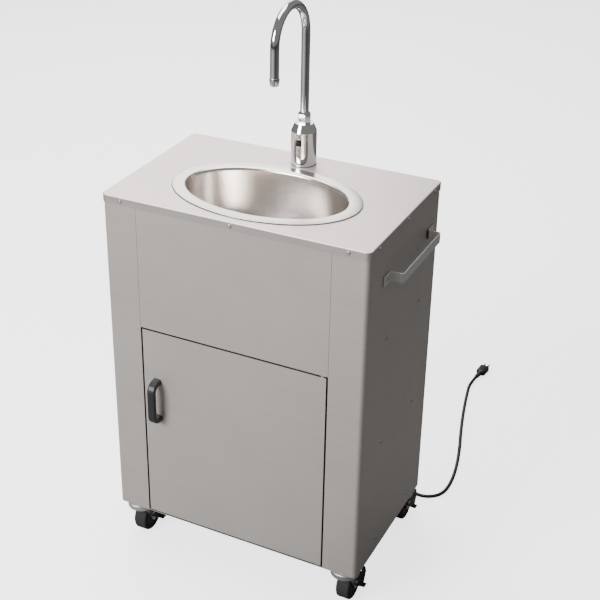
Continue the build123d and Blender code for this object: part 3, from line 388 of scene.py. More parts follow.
def grain_group():
    """Brushed grain: fine noise stretched along the brushing, plus long faint streaks."""
    group, given, out = shader_group(
        "Brushed Grain",
        [
            ("Vector", "Vector", None),
            ("Fineness", "Vector", (6.0, 2500.0, 2500.0)),
            ("Streaks", "Float", 0.35),
        ],
        [("Grain", "Float")],
    )
    fine = node(group, "VectorMath", {0: given["Vector"], 1: given["Fineness"]}, operation="MULTIPLY")
    links = {"Vector": fine.outputs[0], "Scale": 1.0, "Detail": 3.0, "Roughness": 0.6}
    noise = node(group, "TexNoise", links)
    stretch = (0.35, 0.07, 0.07)
    broad = node(group, "VectorMath", {0: fine.outputs[0], 1: stretch}, operation="MULTIPLY")
    streak = node(group, "TexNoise", {"Vector": broad.outputs[0], "Scale": 1.0, "Detail": 2.0})
    mix = node(group, "Mix", {0: given["Streaks"], 2: noise.outputs["Fac"], 3: streak.outputs["Fac"]})
    group.links.new(mix.outputs[0], out["Grain"])
    return group


def smudge_group():
    """Handling marks: a broad soft noise, mapped to a mask and to a range of roughness."""
    group, given, out = shader_group(
        "Handling Smudges",
        [
            ("Vector", "Vector", None),
            ("Scale", "Float", 7.0),
            ("Low", "Float", 0.35),
            ("High", "Float", 0.45),
        ],
        [("Roughness", "Float"), ("Mask", "Float")],
    )
    links = {"Vector": given["Vector"], "Scale": given["Scale"], "Detail": 5.0, "Distortion": 0.6}
    noise = node(group, "TexNoise", links)
    mask = mapped(group, noise.outputs["Fac"], 0.35, 0.7, 0.0, 1.0)
    links = {"Value": mask, "To Min": given["Low"], "To Max": given["High"]}
    group.links.new(node(group, "MapRange", links).outputs["Result"], out["Roughness"])
    group.links.new(mask, out["Mask"])
    return group


def skin_group():
    """Moulded skin: a fine pebbled height from small cells and noise."""
    group, given, out = shader_group(
        "Moulded Skin", [("Vector", "Vector", None), ("Scale", "Float", 900.0)], [("Height", "Float")]
    )
    links = {"Vector": given["Vector"], "Scale": given["Scale"]}
    cells = node(group, "TexVoronoi", links, feature="SMOOTH_F1")
    noise = node(group, "TexNoise", {**links, "Detail": 3.0})
    height = node(group, "Math", {0: cells.outputs["Distance"], 1: noise.outputs["Fac"]}, operation="ADD")
    group.links.new(height.outputs[0], out["Height"])
    return group


def dust_group():
    """Settled dust: a pale colour, most where a face looks up, broken up by noise."""
    group, given, out = shader_group(
        "Settled Dust",
        [
            ("Vector", "Vector", None),
            ("Colour", "Color", (0.03, 0.03, 0.03, 1)),
            ("Dust", "Color", (0.30, 0.28, 0.25, 1)),
            ("Amount", "Float", 0.3),
        ],
        [("Colour", "Color"), ("Mask", "Float")],
    )
    normal = node(group, "SeparateXYZ", {0: node(group, "NewGeometry").outputs["Normal"]})
    links = {"Vector": given["Vector"], "Scale": 160.0, "Detail": 6.0, "Roughness": 0.7}
    noise = node(group, "TexNoise", links)
    facing = mapped(group, normal.outputs["Z"], -0.2, 1.0, 0.25, 1.0)
    patch = mapped(group, noise.outputs["Fac"], 0.42, 0.68, 0.0, 1.0)
    both = node(group, "Math", {0: facing, 1: patch}, operation="MULTIPLY")
    mask = node(group, "Math", {0: both.outputs[0], 1: given["Amount"]}, operation="MULTIPLY").outputs[0]
    group.links.new(blended(group, mask, given["Colour"], given["Dust"]), out["Colour"])
    group.links.new(mask, out["Mask"])
    return group


def placed(tree, group, links):
    """Puts a shared group into a material with its own values."""
    made = tree.nodes.new("ShaderNodeGroup")
    made.node_tree = bpy.data.node_groups.get(group) or GROUP_MAKERS[group]()
    for key, value in links.items():
        if isinstance(value, bpy.types.NodeSocket):
            tree.links.new(value, made.inputs[key])
        else:
            made.inputs[key].default_value = value
    return made.outputs


GROUP_MAKERS = {
    "Brushed Grain": grain_group,
    "Handling Smudges": smudge_group,
    "Moulded Skin": skin_group,
    "Settled Dust": dust_group,
}


# ------------------------------------------------------------------ finishes
def new_finish(name):
    """A material with a Principled shader, and the object coordinates that its patterns read."""
    finish = bpy.data.materials.new(name)
    finish.use_nodes = True
    tree = finish.node_tree
    return finish, tree, tree.nodes["Principled BSDF"], node(tree, "TexCoord").outputs["Object"]


def bumped(tree, shader, height, strength, distance):
    """Feeds a height to the shader's normal through a bump node."""
    bump = node(tree, "Bump", {"Height": height, "Strength": strength, "Distance": distance})
    tree.links.new(bump.outputs["Normal"], shader.inputs["Normal"])


def rgba(value, factor=1.0):
    """A colour with full alpha, darkened or lightened by a factor."""
    return (*(min(1.0, channel * factor) for channel in value), 1.0)


def brushed_steel(name, base, roughness, fineness, metallic=1.0, contrast=0.10, bump=0.12, upright=None):
    """Brushed sheet steel: stretched grain in colour, roughness and height, and faint smudges. Its upright
    faces can have a base colour of their own, which paints shade on faces that turn from the light above."""
    finish, tree, shader, place = new_finish(name)
    grain = placed(tree, "Brushed Grain", {"Vector": place, "Fineness": fineness})["Grain"]
    wear = {"Vector": place, "Low": roughness - 0.03, "High": roughness + 0.05}
    smudge = placed(tree, "Handling Smudges", wear)
    tone = mapped(tree, grain, 0.3, 0.7, 0.0, 1.0)
    colours = blended(tree, tone, rgba(base, 1 - contrast), rgba(base, 1 + contrast))
    # Painted shade: upright faces blend to the upright colour as the normal turns away from straight up.
    if upright is not None:
        normal = node(tree, "SeparateXYZ", {0: node(tree, "NewGeometry").outputs["Normal"]})
        level = mapped(tree, normal.outputs["Z"], 0.35, 0.8, 0.0, 1.0)
        shaded_uprights = blended(tree, tone, rgba(upright, 1 - contrast), rgba(upright, 1 + contrast))
        colours = blended(tree, level, shaded_uprights, colours)
    # Painted shade: ambient occlusion darkens the colour nearly to black in gaps and crevices.
    crevice_shade = node(tree, "AmbientOcclusion", {"Distance": 0.012}, samples=8)
    unshaded_share = mapped(tree, crevice_shade.outputs["AO"], 0.25, 0.75, 0.0, 1.0)
    colours = blended(tree, unshaded_share, rgba(base, 0.04), colours)
    tree.links.new(colours, shader.inputs["Base Color"])
    rough = node(tree, "Math", {0: grain, 1: 0.12, 2: smudge["Roughness"]}, operation="MULTIPLY_ADD")
    tree.links.new(rough.outputs[0], shader.inputs["Roughness"])
    shader.inputs["Metallic"].default_value = metallic
    bumped(tree, shader, grain, bump, SKIN_DEPTH)
    return finish


def polished_metal(name, base, roughness, metallic=1.0):
    """Polished plated metal, with faint water marks in its roughness."""
    finish, tree, shader, place = new_finish(name)
    wear = {"Vector": place, "Scale": 45.0, "Low": roughness, "High": roughness + 0.06}
    smudge = placed(tree, "Handling Smudges", wear)
    tree.links.new(smudge["Roughness"], shader.inputs["Roughness"])
    tone = blended(tree, smudge["Mask"], rgba(base), rgba(base, 0.94))
    tree.links.new(tone, shader.inputs["Base Color"])
    shader.inputs["Metallic"].default_value = metallic
    return finish


def moulded_plastic(name, base, roughness, scale=900.0, bump=0.25, transmission=0.0):
    """Moulded plastic: pebbled skin, slight smudges and a little mottling of its colour."""
    finish, tree, shader, place = new_finish(name)
    wear = {"Vector": place, "Scale": 25.0, "Low": roughness - 0.05, "High": roughness + 0.1}
    smudge = placed(tree, "Handling Smudges", wear)
    tone = blended(tree, smudge["Mask"], rgba(base), rgba(base, 1.18))
    tree.links.new(tone, shader.inputs["Base Color"])
    tree.links.new(smudge["Roughness"], shader.inputs["Roughness"])
    shader.inputs["Transmission Weight"].default_value = transmission
    skin = placed(tree, "Moulded Skin", {"Vector": place, "Scale": scale})
    bumped(tree, shader, skin["Height"], bump, SKIN_DEPTH)
    return finish


def dusty_rubber(name, base, roughness, amount):
    """Rubber or painted steel near the floor, with a pebbled skin and settled dust."""
    finish, tree, shader, place = new_finish(name)
    dust = placed(tree, "Settled Dust", {"Vector": place, "Colour": rgba(base), "Amount": amount})
    tree.links.new(dust["Colour"], shader.inputs["Base Color"])
    tree.links.new(mapped(tree, dust["Mask"], 0.0, 0.5, roughness, 0.9), shader.inputs["Roughness"])
    skin = placed(tree, "Moulded Skin", {"Vector": place, "Scale": 1400.0})
    bumped(tree, shader, skin["Height"], 0.2, SKIN_DEPTH)
    return finish


def dark_glass(name):
    """The sensor's window: near-black gloss with a faint deeper red tone in patches."""
    finish, tree, shader, place = new_finish(name)
    smudge = placed(tree, "Handling Smudges", {"Vector": place, "Scale": 90.0, "Low": 0.04, "High": 0.12})
    tone = blended(tree, smudge["Mask"], (0.004, 0.004, 0.005, 1), (0.012, 0.006, 0.007, 1))
    tree.links.new(tone, shader.inputs["Base Color"])
    tree.links.new(smudge["Roughness"], shader.inputs["Roughness"])
    shader.inputs["Coat Weight"].default_value = 0.6
    return finish


def finish_makers():
    """Each finish by name, and the function that makes it from the settings."""
    scene = bpy.context.scene
    steel = scene.sink_steel
    lengthwise = (5.0, 2400.0, 2400.0)
    return {
        "deck_brushed": lambda: brushed_steel(
            "deck_brushed",
            steel.deck_colour,
            0.40,
            lengthwise,
            metallic=0.75,
            contrast=0.05,
            # Painted shade: the deck's upright lip takes the darker panel colour, so it reads darker than
            # the lit top.
            upright=steel.panel_colour,
        ),
        "panel_brushed": lambda: brushed_steel(
            "panel_brushed",
            steel.panel_colour,
            steel.panel_roughness,
            (4.0, 4.0, 2400.0),
            metallic=0.55,
            contrast=0.06,
        ),
        "inner_mill": lambda: brushed_steel(
            "inner_mill", (0.42, 0.42, 0.42), 0.5, (300.0, 300.0, 8.0), contrast=0.08, bump=0.05
        ),
        "bowl_satin": lambda: brushed_steel(
            "bowl_satin", steel.bowl_colour, 0.16, (5.0, 5.0, 1800.0), contrast=0.06, bump=0.16
        ),
        "handle_brushed": lambda: brushed_steel(
            "handle_brushed", steel.handle_colour, 0.34, (1800.0, 5.0, 1800.0), metallic=0.35, contrast=0.06
        ),
        "fastener_steel": lambda: polished_metal("fastener_steel", (0.62, 0.61, 0.59), 0.24),
        "chrome": lambda: polished_metal("chrome", scene.sink_faucet.chrome_colour, 0.05),
        "sensor_glass": lambda: dark_glass("sensor_glass"),
        "seal_rubber": lambda: moulded_plastic("seal_rubber", (0.03, 0.03, 0.03), 0.6),
        "brass": lambda: polished_metal("brass", (0.70, 0.50, 0.24), 0.28),
        "pull_plastic": lambda: moulded_plastic("pull_plastic", scene.sink_handles.pull_colour, 0.36),
        "white_plastic": lambda: moulded_plastic("white_plastic", (0.78, 0.78, 0.75), 0.4),
        "hose_grey": lambda: moulded_plastic("hose_grey", (0.20, 0.20, 0.21), 0.45),
        "tank_plastic": lambda: moulded_plastic(
            "tank_plastic", scene.sink_tanks.plastic_colour, 0.38, scale=500.0, transmission=0.25
        ),
        "cap_plastic": lambda: moulded_plastic("cap_plastic", scene.sink_tanks.cap_colour, 0.36),
        "heater_enamel": lambda: polished_metal("heater_enamel", (0.82, 0.82, 0.80), 0.22, metallic=0.0),
        "pump_plastic": lambda: moulded_plastic("pump_plastic", (0.03, 0.03, 0.034), 0.42),
        "hose_blue": lambda: moulded_plastic("hose_blue", (0.08, 0.20, 0.42), 0.3),
        "cord_jacket": lambda: moulded_plastic(
            "cord_jacket", scene.sink_cord.jacket_colour, 0.42, scale=1600.0, bump=0.15
        ),
        "plated_brass": lambda: polished_metal("plated_brass", (0.72, 0.66, 0.48), 0.22),
        "caster_zinc": lambda: polished_metal("caster_zinc", steel.zinc_colour, 0.26),
        "brake_black": lambda: dusty_rubber("brake_black", (0.020, 0.020, 0.022), 0.38, 0.25),
        "tyre_rubber": lambda: dusty_rubber("tyre_rubber", (0.016, 0.016, 0.016), 0.55, 0.45),
        "hub_plastic": lambda: dusty_rubber("hub_plastic", (0.030, 0.030, 0.032), 0.45, 0.35),
    }


SLOT_FINISHES = {
    "deck_steel": "deck_brushed",
    "panel_steel": "panel_brushed",
    "inner_steel": "inner_mill",
    "bowl_steel": "bowl_satin",
    "handle_steel": "handle_brushed",
    "fastener_steel": "fastener_steel",
    "faucet_chrome": "chrome",
    "window_black": "sensor_glass",
    "seal_rubber": "seal_rubber",
    "brass_fitting": "brass",
    "pull_black": "pull_plastic",
    "drain_plastic": "white_plastic",
    "waste_hose": "hose_grey",
    "tank_plastic": "tank_plastic",
    "cap_plastic": "cap_plastic",
    "heater_enamel": "heater_enamel",
    "pump_black": "pump_plastic",
    "hose_blue": "hose_blue",
    "cord_black": "cord_jacket",
    "blade_brass": "plated_brass",
    "caster_zinc": "caster_zinc",
    "brake_steel": "brake_black",
    "tyre_rubber": "tyre_rubber",
    "hub_plastic": "hub_plastic",
}


def finish_named(name):
    """The finish of that name, made the first time that it is asked for."""
    return bpy.data.materials.get(name) or finish_makers()[name]()


# ------------------------------------------------------------------ operators
class SINK_OT_finishes(Operator):
    """Gives every modelled part of the sink its finish"""

    bl_idname = "sink.finishes"
    bl_label = "Part Finishes"

    def execute(self, context):
        for part in frame["record"]["subparts"]:
            mesh = frame["nodes"][part["node"]].data
            mesh.materials.clear()
            mesh.materials.append(finish_named(SLOT_FINISHES[part["material_slot"]]))
        return {"FINISHED"}


class SINK_OT_cord(Operator):
    """Adds the mains cord, its ribbed boot and its moulded plug"""

    bl_idname = "sink.cord"
    bl_label = "Mains Cord"

    def execute(self, context):
        sizes = context.scene.sink_cord
        jacket = finish_named("cord_jacket")
        curve = bpy.data.curves.new("mains_cord", "CURVE")
        curve.dimensions = "3D"
        curve.resolution_u = 10
        curve.bevel_depth = sizes.diameter / 2
        curve.bevel_resolution = 6
        curve.use_fill_caps = True
        spline = curve.splines.new("NURBS")
        spline.points.add(len(CORD_ROUTE) - 1)
        spline.points.foreach_set("co", [value for point in CORD_ROUTE for value in (*point, 1.0)])
        spline.order_u = 3
        spline.use_endpoint_u = True
        cord = bpy.data.objects.new("mains_cord", curve)
        context.scene.collection.objects.link(cord)
        stand_for(cord, "power_cord", jacket)

        stand_for(self.boot(sizes), "cord_gland", jacket)
        plug = self.plug(sizes)
        stand_for(plug, "power_plug", jacket)
        return {"FINISHED"}

    def boot(self, sizes):
        """The boot's radius falls evenly from root to tip, less a squared sine for each groove."""
        low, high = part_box("cord_gland")
        inside = low.y
        tip = high.y
        root = tip - sizes.boot_length
        seat = root - sizes.flange_height
        flange = (high.x - low.x) / 2
        t = np.linspace(0, 1, 120)
        shallower = 1 - 0.4 * t
        grooves = sizes.boot_groove * np.sin(np.pi * sizes.ribs * t) ** 2 * (t > 0.02) * shallower
        radius = sizes.boot_root + (sizes.boot_tip - sizes.boot_root) * t - grooves
        taper = np.stack([radius, root + sizes.boot_length * t], axis=1)
        stub = sizes.stub_radius
        edge = 0.0009
        keys = [(0, inside), (stub, inside), (stub, seat), (flange, seat), (flange, root), taper[0]]
        head = eased(keys, edge)
        profile = np.concatenate([head, taper[1:], [(0, tip)]])
        centre = middle("cord_gland")
        return surface("cord_boot", revolved(profile, (centre.x, 0, centre.z), "Y", 64))

    def plug(self, sizes):
        """Sections |x/w|^n + |z/h|^n = 1 carried along the plug; w, h and n change from the round
        tail to the squarer body, which is pinched for the fingers."""
        tail = np.array(CORD_ROUTE[-1])
        heading = tail - np.array(CORD_ROUTE[-2])
        heading /= np.linalg.norm(heading)
        nose, body = sizes.nose_length, sizes.plug_length
        half_width, half_height = sizes.plug_width / 2, sizes.plug_height / 2
        s = np.concatenate([np.linspace(0, nose, 70), np.linspace(nose, nose + body, 90)[1:]])
        t = np.clip(s / nose, 0, 1)
        u = np.clip((s - nose) / body, 0, 1)
        shoulder, waist, waist_reach, face_edge = 0.22, 0.45, 0.16, 0.06  # shares of the body's length
        widening = 0.0019
        grooves_along = 5
        swell = np.sin(QUARTER * np.clip(u / shoulder, 0, 1)) ** 0.8 * (u > 0)
        grooves = sizes.tail_groove * np.sin(np.pi * grooves_along * t) ** 2 * (t < 1)
        tail_r = sizes.boot_tip + widening * t - grooves
        pinch = 1 - 0.10 * np.exp(-(((u - waist) / waist_reach) ** 2))
        edge = np.sqrt(1 - 0.5 * np.clip((u - 1 + face_edge) / face_edge, 0, 1) ** 2)
        w = (tail_r + (half_width - tail_r) * swell * pinch) * edge
        h = (tail_r + (half_height - tail_r) * swell) * edge
        n = 2 + 2.2 * swell
        a = np.linspace(0, 2 * np.pi, 64, endpoint=False)
        c, d = np.cos(a), np.sin(a)
        power = (2 / n)[:, None]
        across = w[:, None] * np.sign(c) * np.abs(c) ** power
        up = h[:, None] * np.sign(d) * np.abs(d) ** power
        side = np.array([-heading[1], heading[0], 0.0])
        upright = np.array([0.0, 0.0, 1.0])
        grid = tail + s[:, None, None] * heading + across[..., None] * side + up[..., None] * upright
        return surface("mains_plug", grid, caps=True, sharp=40)


class SINK_OT_bowl(Operator):
    """Adds the oval bowl, with its rolled rim and its smooth satin wall"""

    bl_idname = "sink.bowl"
    bl_label = "Bowl"

    def execute(self, context):
        low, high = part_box("bowl")
        centre = middle("bowl")
        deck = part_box("top_deck")[1].z
        rings = self.rings(context.scene.sink_bowl, (high.x - low.x) / 2, (high.y - low.y) / 2, deck)
        t = np.linspace(0, 2 * np.pi, 176, endpoint=False)
        a, b, z = rings.T[:, :, None]
        grid = np.stack(np.broadcast_arrays(centre.x + a * np.cos(t), centre.y + b * np.sin(t), z), axis=-1)
        stand_for(surface("oval_bowl", grid, closed_rows=True), "bowl", finish_named("bowl_satin"))

        # The seal is a dark bead with a round outside, squeezed out a little all round the rim; it is
        # painted shade for the dark shadow line under the rim's edge.
        shade_seal_width = context.scene.sink_bowl.shade_seal
        turn = np.linspace(-QUARTER, QUARTER, 9)
        reach = np.concatenate([shade_seal_width * np.cos(turn), [-shade_seal_width]])
        rise = np.concatenate([shade_seal_width * (1 + np.sin(turn)) / 2, [shade_seal_width / 2]])[:, None]
        a = (high.x - low.x) / 2 - shade_seal_width / 3 + reach[:, None]
        b = (high.y - low.y) / 2 - shade_seal_width / 3 + reach[:, None]
        parts = np.broadcast_arrays(centre.x + a * np.cos(t), centre.y + b * np.sin(t), deck + rise)
        shade_seal = surface("bowl_shade_seal", np.stack(parts, axis=-1), closed_rows=True)
        shade_seal.data.materials.append(finish_named("seal_rubber"))
        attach(shade_seal, "cabinet")
        return {"FINISHED"}

    def rings(self, sizes, rim_a, rim_b, deck):
        """The bowl's ovals (half length, half width, height), from the rim's seat over the crest and
        down the wall to the drain hole, then back along the underside. The wall follows
        a = floor + (mouth - floor) cos(t)^p and z = mouth - depth sin(t)^p; the underside is the
        upper side moved by the sheet's thickness along its normal."""
        crest_a, crest_b = rim_a - sizes.brow_length, rim_b - sizes.brow_width
        mouth_a, mouth_b = crest_a - sizes.throat, crest_b - sizes.throat
        t = np.linspace(0, QUARTER, 61)
        spread = np.clip(np.cos(t), 0, 1) ** sizes.squareness
        spread[-1] = 0
        wall = np.stack(
            [
                sizes.floor_length + (mouth_a - sizes.floor_length) * spread,
                sizes.floor_width + (mouth_b - sizes.floor_width) * spread,
                deck - sizes.mouth_drop - sizes.depth * np.sin(t) ** sizes.squareness,
            ],
            axis=1,
        )
        seat = 3 * sizes.sheet
        keys = [
            (rim_a - seat, rim_b - seat, deck),
            (rim_a, rim_b, deck),
            (rim_a, rim_b, deck + sizes.rim_edge),
            (crest_a, crest_b, deck + sizes.crest_rise),
            wall[0],
            wall[2],
        ]
        head = eased(keys, (0.0002, 0.0008, 0.0045, 0.0045))
        hole = (sizes.drain_radius, sizes.drain_radius, wall[-1, 2])
        upper = np.concatenate([head, wall[3:], [hole]])
        run = np.gradient(upper, axis=0)
        along = (run[:, 0] + run[:, 1]) / 2
        size = np.maximum(np.hypot(along, run[:, 2]), 1e-9)
        shift = np.stack([-run[:, 2] / size, -run[:, 2] / size, along / size], axis=1)
        below = upper + sizes.sheet * shift
        past_crest = 24  # the first ring beyond the middle of the crest's curve
        return np.concatenate([upper, below[past_crest:][::-1]])


class SINK_OT_handles(Operator):
    """Adds the bent grab bar and the moulded door pull"""

    bl_idname = "sink.handles"
    bl_label = "Handle and Pull"

    def execute(self, context):
        sizes = context.scene.sink_handles
        stand_for(self.bar(sizes), "grab_handle", finish_named("handle_brushed"))
        stand_for(self.pull(sizes), "door_pull", finish_named("pull_plastic"))
        return {"FINISHED"}

    def bar(self, sizes):
        """A flat section with eased edges, carried level through two feet, two arms and a grip."""
        low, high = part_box("grab_handle")
        half = sizes.bar_thickness / 2
        near, far = low.x + half, high.x - half
        front, rear = low.y + sizes.bar_foot, high.y - sizes.bar_foot
        z = (low.z + high.z) / 2
        keys = [
            (near, low.y, z),
            (near, front, z),
            (far, front, z),
            (far, rear, z),
            (near, rear, z),
            (near, high.y, z),
        ]
        section = rounded_section(sizes.bar_thickness, high.z - low.z, 0.0012)
        return surface("grab_bar", carried(section, eased(keys, sizes.bar_bend, 12), (0, 0, 1)), caps=True)

    def pull(self, sizes):
        """A rounded section carried up a D with bevelled corners; it thickens towards its feet."""
        low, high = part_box("door_pull")
        x = (low.x + high.x) / 2
        half = sizes.pull_bar / 2
        foot = sizes.pull_foot / 2
        outer = low.y + half
        bevel = sizes.pull_bevel
        bottom, top = low.z + foot, high.z - foot
        keys = [
            (x, high.y, bottom),
            (x, outer + bevel, bottom),
            (x, outer, bottom + bevel),
            (x, outer, top - bevel),
            (x, outer + bevel, top),
            (x, high.y, top),
        ]
        path, _ = resampled(eased(keys, 0.007, 10), 140)
        closeness = np.clip((path[:, 1] - outer) / (high.y - outer), 0, 1)
        swell = 1 + (sizes.pull_foot / sizes.pull_bar - 1) * closeness**1.5
        section = rounded_section(sizes.pull_bar, high.x - low.x, 0.0042, 8)
        scale = np.stack([swell, np.ones_like(swell)], axis=1)
        return surface("door_grip", carried(section, path, (1, 0, 0), scale), caps=True, sharp=50)


class SINK_OT_faucet(Operator):
    """Adds the gooseneck spout and its outlet cup"""

    bl_idname = "sink.faucet"
    bl_label = "Spout"

    def execute(self, context):
        sizes = context.scene.sink_faucet
        chrome = finish_named("chrome")
        stand_for(self.spout(sizes), "gooseneck", chrome)
        stand_for(self.outlet(sizes), "aerator", chrome)
        return {"FINISHED"}

    def spout(self, sizes):
        """A circle carried up, over a half circle (y, z) = R (cos t, sin t), and down."""
        low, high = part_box("gooseneck")
        x = (low.x + high.x) / 2
        radius = (high.x - low.x) / 2
        bend = (high.y - low.y) / 2 - radius
        centre_y = (low.y + high.y) / 2
        centre_z = high.z - radius - bend
        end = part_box("aerator")[1].z - sizes.cup
        t = np.linspace(0, np.pi, 90)
        over = np.stack(
            [np.full_like(t, x), centre_y + bend * np.cos(t), centre_z + bend * np.sin(t)], axis=1
        )
        straight_top = centre_z - 0.004
        riser = [(x, centre_y + bend, z) for z in np.linspace(low.z, straight_top, 12)]
        fall = [(x, centre_y - bend, z) for z in np.linspace(straight_top, end, 6)]
        path = np.concatenate([riser, over, fall])
        return surface("spout", carried(circle_section(radius, 56), path, (1, 0, 0)), caps=True)

    def outlet(self, sizes):
        """A turned cup that tapers to the mouth, with a recessed screen inside its bore."""
        low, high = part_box("aerator")
        outer = (high.x - low.x) / 2
        spout = (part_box("gooseneck")[1].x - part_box("gooseneck")[0].x) / 2
        screen = low.z + sizes.screen_depth
        edge = 0.0004
        skirt = 0.001
        keys = [
            (spout - edge, high.z - edge),
            (spout, high.z),
            (outer, high.z),
            (outer, high.z - sizes.cup - skirt),
            (sizes.tip_radius, low.z),
            (sizes.bore_radius, low.z),
            (sizes.bore_radius, screen),
            (0.0005, screen),
        ]
        profile = eased(keys, 0.0005, 4)
        closed = np.concatenate([[(0, high.z - edge)], profile, [(0, screen)]])
        centre = middle("aerator")
        return surface("outlet_cup", revolved(closed, (centre.x, centre.y, 0)))


class SINK_OT_tanks(Operator):
    """Adds the two ribbed water tanks and the corrugated waste hose"""

    bl_idname = "sink.tanks"
    bl_label = "Tanks and Waste Hose"

    def execute(self, context):
        sizes = context.scene.sink_tanks
        for node_name in ("fresh_tank", "waste_tank"):
            stand_for(self.tank(sizes, node_name), node_name, finish_named("tank_plastic"))
        stand_for(self.hose(sizes), "drain_hose", finish_named("hose_grey"))
        return {"FINISHED"}

    def tank(self, sizes, node_name):
        """A rounded rectangle drawn in by a quarter circle at the bottom and the top, and by a
        smooth groove cos^2 between each two ribs; a turned neck stands on it under the cap."""
        low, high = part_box(node_name)
        width, depth = high.x - low.x, high.y - low.y
        height = high.z - low.z - sizes.neck_height
        bottom, top = 0.012, height - 0.014
        spans = [np.linspace(0, bottom, 9), np.linspace(bottom, top, 150), np.linspace(top, height, 10)]
        z = np.unique(np.concatenate(spans))
        foot = sizes.foot_radius * (1 - np.sqrt(1 - np.clip(1 - z / sizes.foot_radius, 0, 1) ** 2))
        below_top = height - z
        brow = sizes.brow_radius * (1 - np.sqrt(1 - np.clip(1 - below_top / sizes.brow_radius, 0, 1) ** 2))
        phase = (z - sizes.first_rib) / (height - sizes.ribs_short) * (sizes.ribs + 1)
        groove_reach = 0.16
        near = np.abs(phase - np.round(phase)) / groove_reach
        inside = (np.round(phase) >= 1) & (np.round(phase) <= sizes.ribs)
        groove = sizes.rib_depth * np.cos(QUARTER * np.clip(near, 0, 1)) ** 2 * inside
        inset = foot + brow + groove
        section = rounded_section(width, depth, sizes.corner_radius, 10)
        scale = np.stack([1 - 2 * inset / width, 1 - 2 * inset / depth], axis=1)
        flat = section[None] * scale[:, None]
        middle_x, middle_y = (low.x + high.x) / 2, (low.y + high.y) / 2
        rise = np.broadcast_to((low.z + z)[:, None], flat.shape[:2])
        grid = np.stack([middle_x + flat[..., 0], middle_y + flat[..., 1], rise], axis=-1)
        body = surface(node_name + "_shell", grid, caps=True, sharp=50)
        neck = sizes.neck_radius
        root = low.z + height - 0.002
        edge = 0.0008
        keys = [(0, root), (neck, root), (neck, high.z - edge), (neck - edge, high.z), (0, high.z)]
        cap = middle("tank_caps")
        return joined(node_name + "_shell", [body, surface("neck", revolved(keys, (middle_x, cap.y, 0)))])

    def hose(self, sizes):
        """A circle carried down an eased line; its radius dips by (1 - cos(2 pi s / pitch)) / 2."""
        low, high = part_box("drain_hose")
        y = (low.y + high.y) / 2
        radius = (high.y - low.y) / 2
        start, end = high.x - radius, low.x + radius
        drop, run = high.z - low.z, end - start
        keys = [
            (start, y, high.z),
            (start, y, high.z - 0.22 * drop),
            (start + 0.24 * run, y, high.z - 0.43 * drop),
            (start + 0.76 * run, y, low.z + 0.38 * drop),
            (end, y, low.z + 0.2 * drop),
            (end, y, low.z),
        ]
        line = eased(keys, 1.0, 24)
        rows = int(8 * np.linalg.norm(np.diff(line, axis=0), axis=1).sum() / sizes.hose_pitch)
        path, along = resampled(line, rows)
        dip = sizes.hose_ripple * (1 - np.cos(2 * np.pi * along / sizes.hose_pitch)) / 2
        grid = carried(circle_section(radius, 40), path, (0, 1, 0), 1 - dip / radius)
        return surface("waste_hose", grid, caps=True, sharp=70)


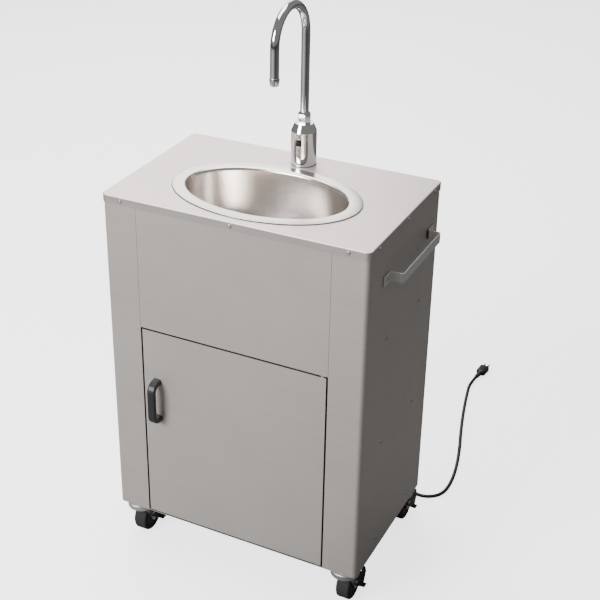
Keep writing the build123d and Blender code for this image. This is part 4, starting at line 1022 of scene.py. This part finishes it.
class SINK_OT_stage(Operator):
    """Adds the pale floor, the soft lights and the camera"""

    bl_idname = "sink.stage"
    bl_label = "Stage"

    def execute(self, context):
        look = context.scene.sink_stage
        self.floor(look)
        self.light("key_light", look.key_power, 2.4, (-2.0, -4.2, 3.0), (0.0, 0.0, 0.6))
        self.light("top_light", look.top_power, 2.6, (-0.9, 0.6, 3.8), (0.0, 0.0, 0.8))
        self.light("back_light", look.back_power, 2.6, (-2.4, 3.6, 2.7), (0.0, 0.0, 0.9))
        world = bpy.data.worlds.new("even_light")
        world.use_nodes = True
        background = world.node_tree.nodes["Background"]
        background.inputs["Color"].default_value = (1.0, 1.0, 1.0, 1.0)
        background.inputs["Strength"].default_value = look.world_strength
        context.scene.world = world
        camera = bpy.data.cameras.new("camera")
        camera.lens = look.lens
        camera.sensor_width = 36.0
        camera.shift_x, camera.shift_y = look.shift
        holder = bpy.data.objects.new("camera", camera)
        holder.location = look.camera_place
        holder.rotation_euler = look.camera_turn
        context.scene.collection.objects.link(holder)
        context.scene.camera = holder
        return {"FINISHED"}

    def floor(self, look):
        """A flat square with a plain matte finish. It is pale to the camera and darker to the metal
        that mirrors it, most of all to the right, so that the panels keep their depth of tone."""
        half = 14.0
        mesh = bpy.data.meshes.new("floor")
        square = [(-half, -half, 0), (half, -half, 0), (half, half, 0), (-half, half, 0)]
        mesh.from_pydata(square, [], [(0, 1, 2, 3)])
        floor = bpy.data.objects.new("floor", mesh)
        bpy.context.scene.collection.objects.link(floor)
        finish, tree, shader, place = new_finish("floor_paint")
        smudge = placed(tree, "Handling Smudges", {"Vector": place, "Scale": 1.5, "Low": 0.75, "High": 0.85})
        base = look.floor_colour
        seen = node(tree, "LightPath").outputs["Is Camera Ray"]
        pale = blended(tree, smudge["Mask"], rgba(base), rgba(base, 0.985))
        way = node(tree, "VectorMath", {0: place}, operation="NORMALIZE").outputs[0]
        key_side = (-0.76, -0.65, 0.0)
        aim = node(tree, "VectorMath", {0: way, 1: key_side}, operation="DOT_PRODUCT").outputs["Value"]
        front = mapped(tree, aim, 0.0, 0.8, 0.25, 1.25)
        rear = mapped(tree, aim, -0.2, -1.0, 0.0, 0.6)
        share = node(tree, "Math", {0: front, 1: rear}, operation="ADD").outputs[0]
        given = blended(tree, share, rgba(base, 0.0), rgba(base, look.floor_bounce))
        tree.links.new(blended(tree, seen, given, pale), shader.inputs["Base Color"])
        tree.links.new(smudge["Roughness"], shader.inputs["Roughness"])
        glow = node(tree, "Math", {0: seen, 1: look.floor_lift}, operation="MULTIPLY")
        shader.inputs["Emission Color"].default_value = (1.0, 1.0, 1.0, 1.0)
        tree.links.new(glow.outputs[0], shader.inputs["Emission Strength"])
        mesh.materials.append(finish)

    def light(self, name, power, size, place, aim):
        """A square area light that stands at a place and faces a point."""
        lamp = bpy.data.lights.new(name, "AREA")
        lamp.energy = power
        lamp.size = size
        holder = bpy.data.objects.new(name, lamp)
        holder.location = place
        holder.rotation_euler = (Vector(aim) - Vector(place)).to_track_quat("-Z", "Y").to_euler()
        bpy.context.scene.collection.objects.link(holder)


OPERATORS = (
    SINK_OT_finishes,
    SINK_OT_bowl,
    SINK_OT_handles,
    SINK_OT_faucet,
    SINK_OT_tanks,
    SINK_OT_cord,
    SINK_OT_stage,
)


class SINK_PT_panel(Panel):
    """Lists the operators that build the sink, in order"""

    bl_idname = "SINK_PT_panel"
    bl_label = "Handwash Sink"
    bl_space_type = "VIEW_3D"
    bl_region_type = "UI"
    bl_category = "Handwash Sink"

    def draw(self, context):
        for operator in OPERATORS:
            self.layout.operator(operator.bl_idname)


CLASSES = (*GROUPS.values(), *OPERATORS, SINK_PT_panel)


def register():
    """Registers the classes and hangs the settings on the scene."""
    for cls in CLASSES:
        bpy.utils.register_class(cls)
    for name, group in GROUPS.items():
        setattr(bpy.types.Scene, name, PointerProperty(type=group))


def unregister():
    """Takes the settings off the scene and removes the classes."""
    for name in GROUPS:
        delattr(bpy.types.Scene, name)
    for cls in reversed(CLASSES):
        bpy.utils.unregister_class(cls)


def main():
    register()
    for operator in OPERATORS:
        group, name = operator.bl_idname.split(".")
        getattr(getattr(bpy.ops, group), name)()


if __name__ == "__main__":
    main()
